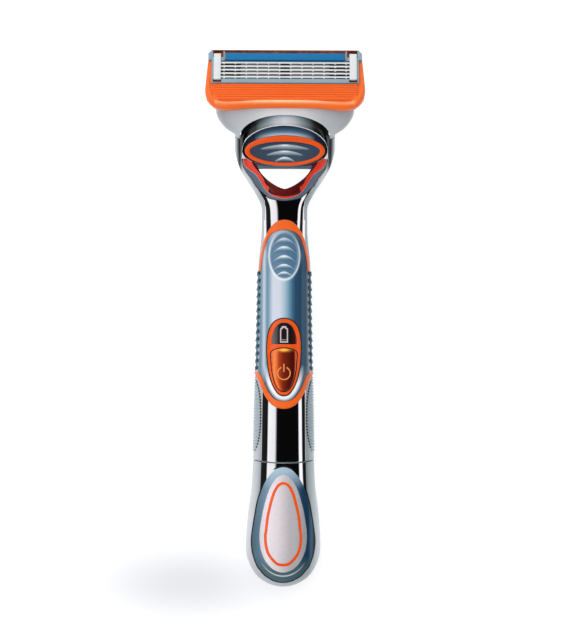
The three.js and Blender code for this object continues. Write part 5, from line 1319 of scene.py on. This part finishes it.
def tray_rule(middle):
    point = HEAD.inverted() @ middle
    in_hole = 16.2 < abs(point.x) < 19.0 and (point.y < 5.4 or point.y > 11.5) and point.z < 4.3
    on_top = point.y > 13.35 and abs(point.x) < 16.0
    return 1 if in_hole or on_top else 0


tray = painted(placed(tray_form(), HEAD), tray_rule)
piece("tray", tray, "cartridge", [frame_blue, tray_amber], ["cartridge_frame"])
# The black floor under the blade windows stands in for the shade inside the cartridge; the amber at
# the ends is the frame's own colour.
floors = [brick((-17.6, 5.4, 1.7), (17.6, 10.7, 1.95))]
for x in (16.2, -19.0):
    floors += [
        brick((x, 4.3, 3.5), (x + 2.8, 5.3, 3.7)),
        brick((x, 11.7, 3.5), (x + 2.8, 13.7, 3.8)),
    ]
under = placed(joined(*floors), HEAD)
shades = painted(under, lambda p: 1 if abs(p.x) > 16.4 and (HEAD.inverted() @ p).z > 3 else 0)
piece("tray_floor", shades, "cartridge", [black_rubber, tray_amber])


def guard_half_rows():
    rows = [(0, 1.9), (0.353, 2), (0.568, 2.4), (0.745, 2.8), (0.878, 2.15), (0.936, 1.05)]
    rows += [(0.98, -0.25), (1, -2.2)]
    return [(share * 20.95, -drop) for share, drop in rows] + [(20.95, 3.2), (20.3, 10.85)]


def guard_form():
    right = guard_half_rows()
    points = right + [(19.33, 10.85), (19.33, 4.19)]
    points += [(-x, y) for x, y in reversed(points[1:])]
    pad = plate(points, 1.75, 3.7)
    rim = [e for e in pad.edges if all(v.co.z > 3.6 for v in e.verts)]
    outer = {(round(abs(x), 3), round(y, 3)) for x, y in right}
    place = lambda v: (round(abs(v.co.x), 3), round(v.co.y, 3))
    softened(pad, [e for e in rim if all(place(v) in outer for v in e.verts)], 0.45, 4)
    pad = carved(pad, brick((-18.9, -0.7, 3.15), (18.9, 4.1, 9)))
    fins = [brick((-18.85, -0.65, 3.0), (18.85, 4.06, 3.98))]
    for i in range(7):
        top = 4.02 - i * 0.67
        half = 19.0 - 1.5 * (i / 6) ** 3
        fins.append(brick((-half, top - 0.4, 2.9), (half, top, 4.25), 0.15))
    return placed(joined(pad, guard_lip(), *fins), HEAD)


def guard_lip():
    """The rolled lip along the lower edge and a little way up each side."""
    right = [(0, -1.3), (7.4, -1.4), (11.9, -1.75), (15.2, -2.0), (17.6, -1.5), (18.9, -0.5)]
    right += [(19.65, 0.9), (19.95, 2.4), (20.05, 4.0), (20.0, 6.0)]
    path = [(-x, y) for x, y in reversed(right[1:])] + right
    last = len(path) - 1
    fine = []
    for i in range(last):
        near = [Vector(path[min(max(i + k, 0), last)]) for k in (-1, 0, 1, 2)]
        fine += [curve_point(*near, t) for t in (0, 0.25, 0.5, 0.75)]
    fine.append(Vector(path[-1]))
    turns = [math.tau * k / 24 for k in range(24)]
    rings = []
    for i, point in enumerate(fine):
        along = fine[min(i + 1, len(fine) - 1)] - fine[max(i - 1, 0)]
        out = Vector((along.y, -along.x)).normalized()
        share = min(max((point.y + 1.0) / 6, 0), 1)
        wide, tall = 1.12 - 0.4 * share, 1.2 - 0.35 * share
        spread = [(wide * math.cos(t), tall * math.sin(t)) for t in turns]
        rings.append([(point.x + out.x * a, point.y + out.y * a, 3.0 + b) for a, b in spread])
    return skin_over(rings)


def lip_painted_highlight(co):
    """A painted highlight along the crest of the lip, strongest in the middle."""
    x, y, z = HEAD.inverted() @ co
    crest = -0.85 - 0.5 * min(abs(x) / 15.2, 1) ** 2
    near = bell(y, crest, 0.6) if z > 3.0 and abs(x) < 18.4 else 0
    return near * (0.35 + 0.85 * bell(x, 0, 10))


guard, taken = guard_form(), ["elastomer_guard"]
piece("guard", guard, "cartridge", guard_orange, taken, tint=lip_painted_highlight)

gel = placed(brick((-15.6, 10.85, 3.8), (15.6, 12.9, 4.8), 0.25), HEAD)
piece("gel_strip", gel, "cartridge", gel_blue, ["lubricating_strip"])
ends = joined(
    *[brick((x, 10.95, 3.8), (x + 0.55, 13.0, 4.75), 0.1) for x in (15.65, -16.2)],
    brick((-15.6, 12.98, 3.9), (15.6, 13.2, 4.62), 0.05),
)
shades = painted(placed(ends, HEAD), lambda p: 0 if abs(p.x) > 15.62 else 1)
piece("strip_ends", shades, "cartridge", [clear_grey, tray_amber])
for name, left in (("clip_right", 16.86), ("clip_left", -18.76)):
    band = placed(brick((left, 4.95, 4.2), (left + 1.9, 12.65, 4.95), 0.18), HEAD)
    piece(name + "_band", band, "cartridge", steel, [name])


for i in range(5):
    u = 5.93 + 1.05 * i
    edge = brick((-17.4, -0.27, -0.1), (17.4, 0.27, 0.0), 0.04, 2)
    placed(edge, tipped((0, u, 4.5), -14))
    leg = brick((-17.4, u + 0.08, 2.4), (17.4, u + 0.28, 4.2), 0.05, 2)
    props = [
        brick((low, u - 0.78, 3.4), (high, u - 0.2, 4.22), 0.08, 2)
        for low, high in ((-11.6, -1.3), (1.25, 11.6))
    ]
    dots = [
        rod((x, u - 0.3, 4.2), (x, u - 0.3, 4.5), 0.2, 0.05, 12) for x in span(-16, 16, 2.9)
    ]
    shades = joined(edge, *dots)
    count = len(shades.faces)
    shades = joined(shades, leg, *props)
    for face in shades.faces[count:]:
        face.material_index = 1
    name, finishes = f"{i + 1}", [steel, dull_steel]
    blade = placed(shades, HEAD)
    piece("edge_" + name, blade, "float_" + name, finishes, ["blade_" + name])


# Stage: a white table, the light round it and the camera
def table_top():
    bm = bmesh.new()
    bmesh.ops.create_grid(bm, x_segments=1, y_segments=1, size=1.5)
    mesh = bpy.data.meshes.new("table")
    bm.to_mesh(mesh)
    bm.free()
    obj = bpy.data.objects.new("table", mesh)
    bpy.context.scene.collection.objects.link(obj)
    shade = Shade("table_white", Roughness=0.9)
    x, y, z = shade.axes()
    # A soft, slightly blue painted shadow on the table, to the lower left of the tail.
    dip = (x + 0.026) * 38
    rise = (y + 0.0525) * 95
    painted_shadow = shade.node("Math", {"operation": "EXPONENT"}, {0: (dip * dip + rise * rise) * -1})
    white = 1.12 - painted_shadow * 0.44
    tint = shade.mix(painted_shadow, (1, 1, 1, 1), (0.92, 0.93, 1.0, 1))
    glow = shade.node("Emission", None, {"Color": tint, "Strength": white * 0.72})
    matte = shade.node("BsdfDiffuse", None, {"Color": (0.36, 0.36, 0.36, 1)})
    both = shade.node("AddShader", None, {0: glow, 1: matte})
    out = shade.tree.nodes["Material Output"]
    shade.tree.links.new(both.socket, out.inputs["Surface"])
    mesh.materials.append(shade.material)
    obj.location.z = -0.0002


def surroundings():
    """A white studio, its ceiling dark over the razor, with dark gaps beside two soft lights."""
    world = bpy.data.worlds.new("studio")
    world.use_nodes = True
    bpy.context.scene.world = world
    shade = Shade.__new__(Shade)
    shade.tree = world.node_tree
    sky = shade.node("TexCoord", out="Generated")
    x, y, z = shade.axes(sky)
    turn = shade.node("Math", {"operation": "ARCTAN2"}, {0: x, 1: z}) / math.pi + 0.5
    grey = lambda v: (v, v, v, 1)

    run = [(-90, 0.8), (-84, 0.02), (-50, 0.01), (-47, 1.1), (-20, 1.0), (-14, 0.003)]
    run += [(44, 0.003), (47, 1.15), (60, 1.15), (63, 0.01), (82, 0.01), (90, 0.8)]
    bands = [(degrees / 180 + 0.5, grey(value)) for degrees, value in run]
    ring = shade.ramp(bands, turn)
    lift = ((y - 0.35) * 3.5).clipped() + ((y * -1 - 0.6) * 3).clipped() * 0.7
    light = shade.mix(lift, ring, grey(0.95))
    background = world.node_tree.nodes["Background"]
    shade.tree.links.new(light.socket, background.inputs["Color"])
    background.inputs["Strength"].default_value = 1.0


def lamp(name, place, aim, size, power):
    data = bpy.data.lights.new(name, "AREA")
    data.shape, data.size, data.size_y, data.energy = "RECTANGLE", size[0], size[1], power
    obj = bpy.data.objects.new(name, data)
    bpy.context.scene.collection.objects.link(obj)
    obj.location = place
    obj.rotation_euler = (Vector(aim) - Vector(place)).to_track_quat("-Z", "Y").to_euler()
    obj.visible_glossy = False
    obj.visible_camera = False


def camera():
    data = bpy.data.cameras.new("camera")
    obj = bpy.data.objects.new("camera", data)
    bpy.context.scene.collection.objects.link(obj)
    bpy.context.scene.camera = obj
    distance, focus_z, per_pixel = 1.0, 0.012, 0.0002642
    data.sensor_width = 36
    data.lens = 36 * (distance - focus_z) / (630 * per_pixel)
    data.clip_end = 5
    obj.location = (-0.00069, 0.0193, distance)
    obj.rotation_euler = (0, 0, math.radians(0.25))


table_top()
surroundings()
lamp("overhead", (-0.2, 0.1, 0.8), (0, 0, 0), (0.9, 0.9), 5.4)
camera()
bpy.context.scene.view_settings.view_transform = "Standard"
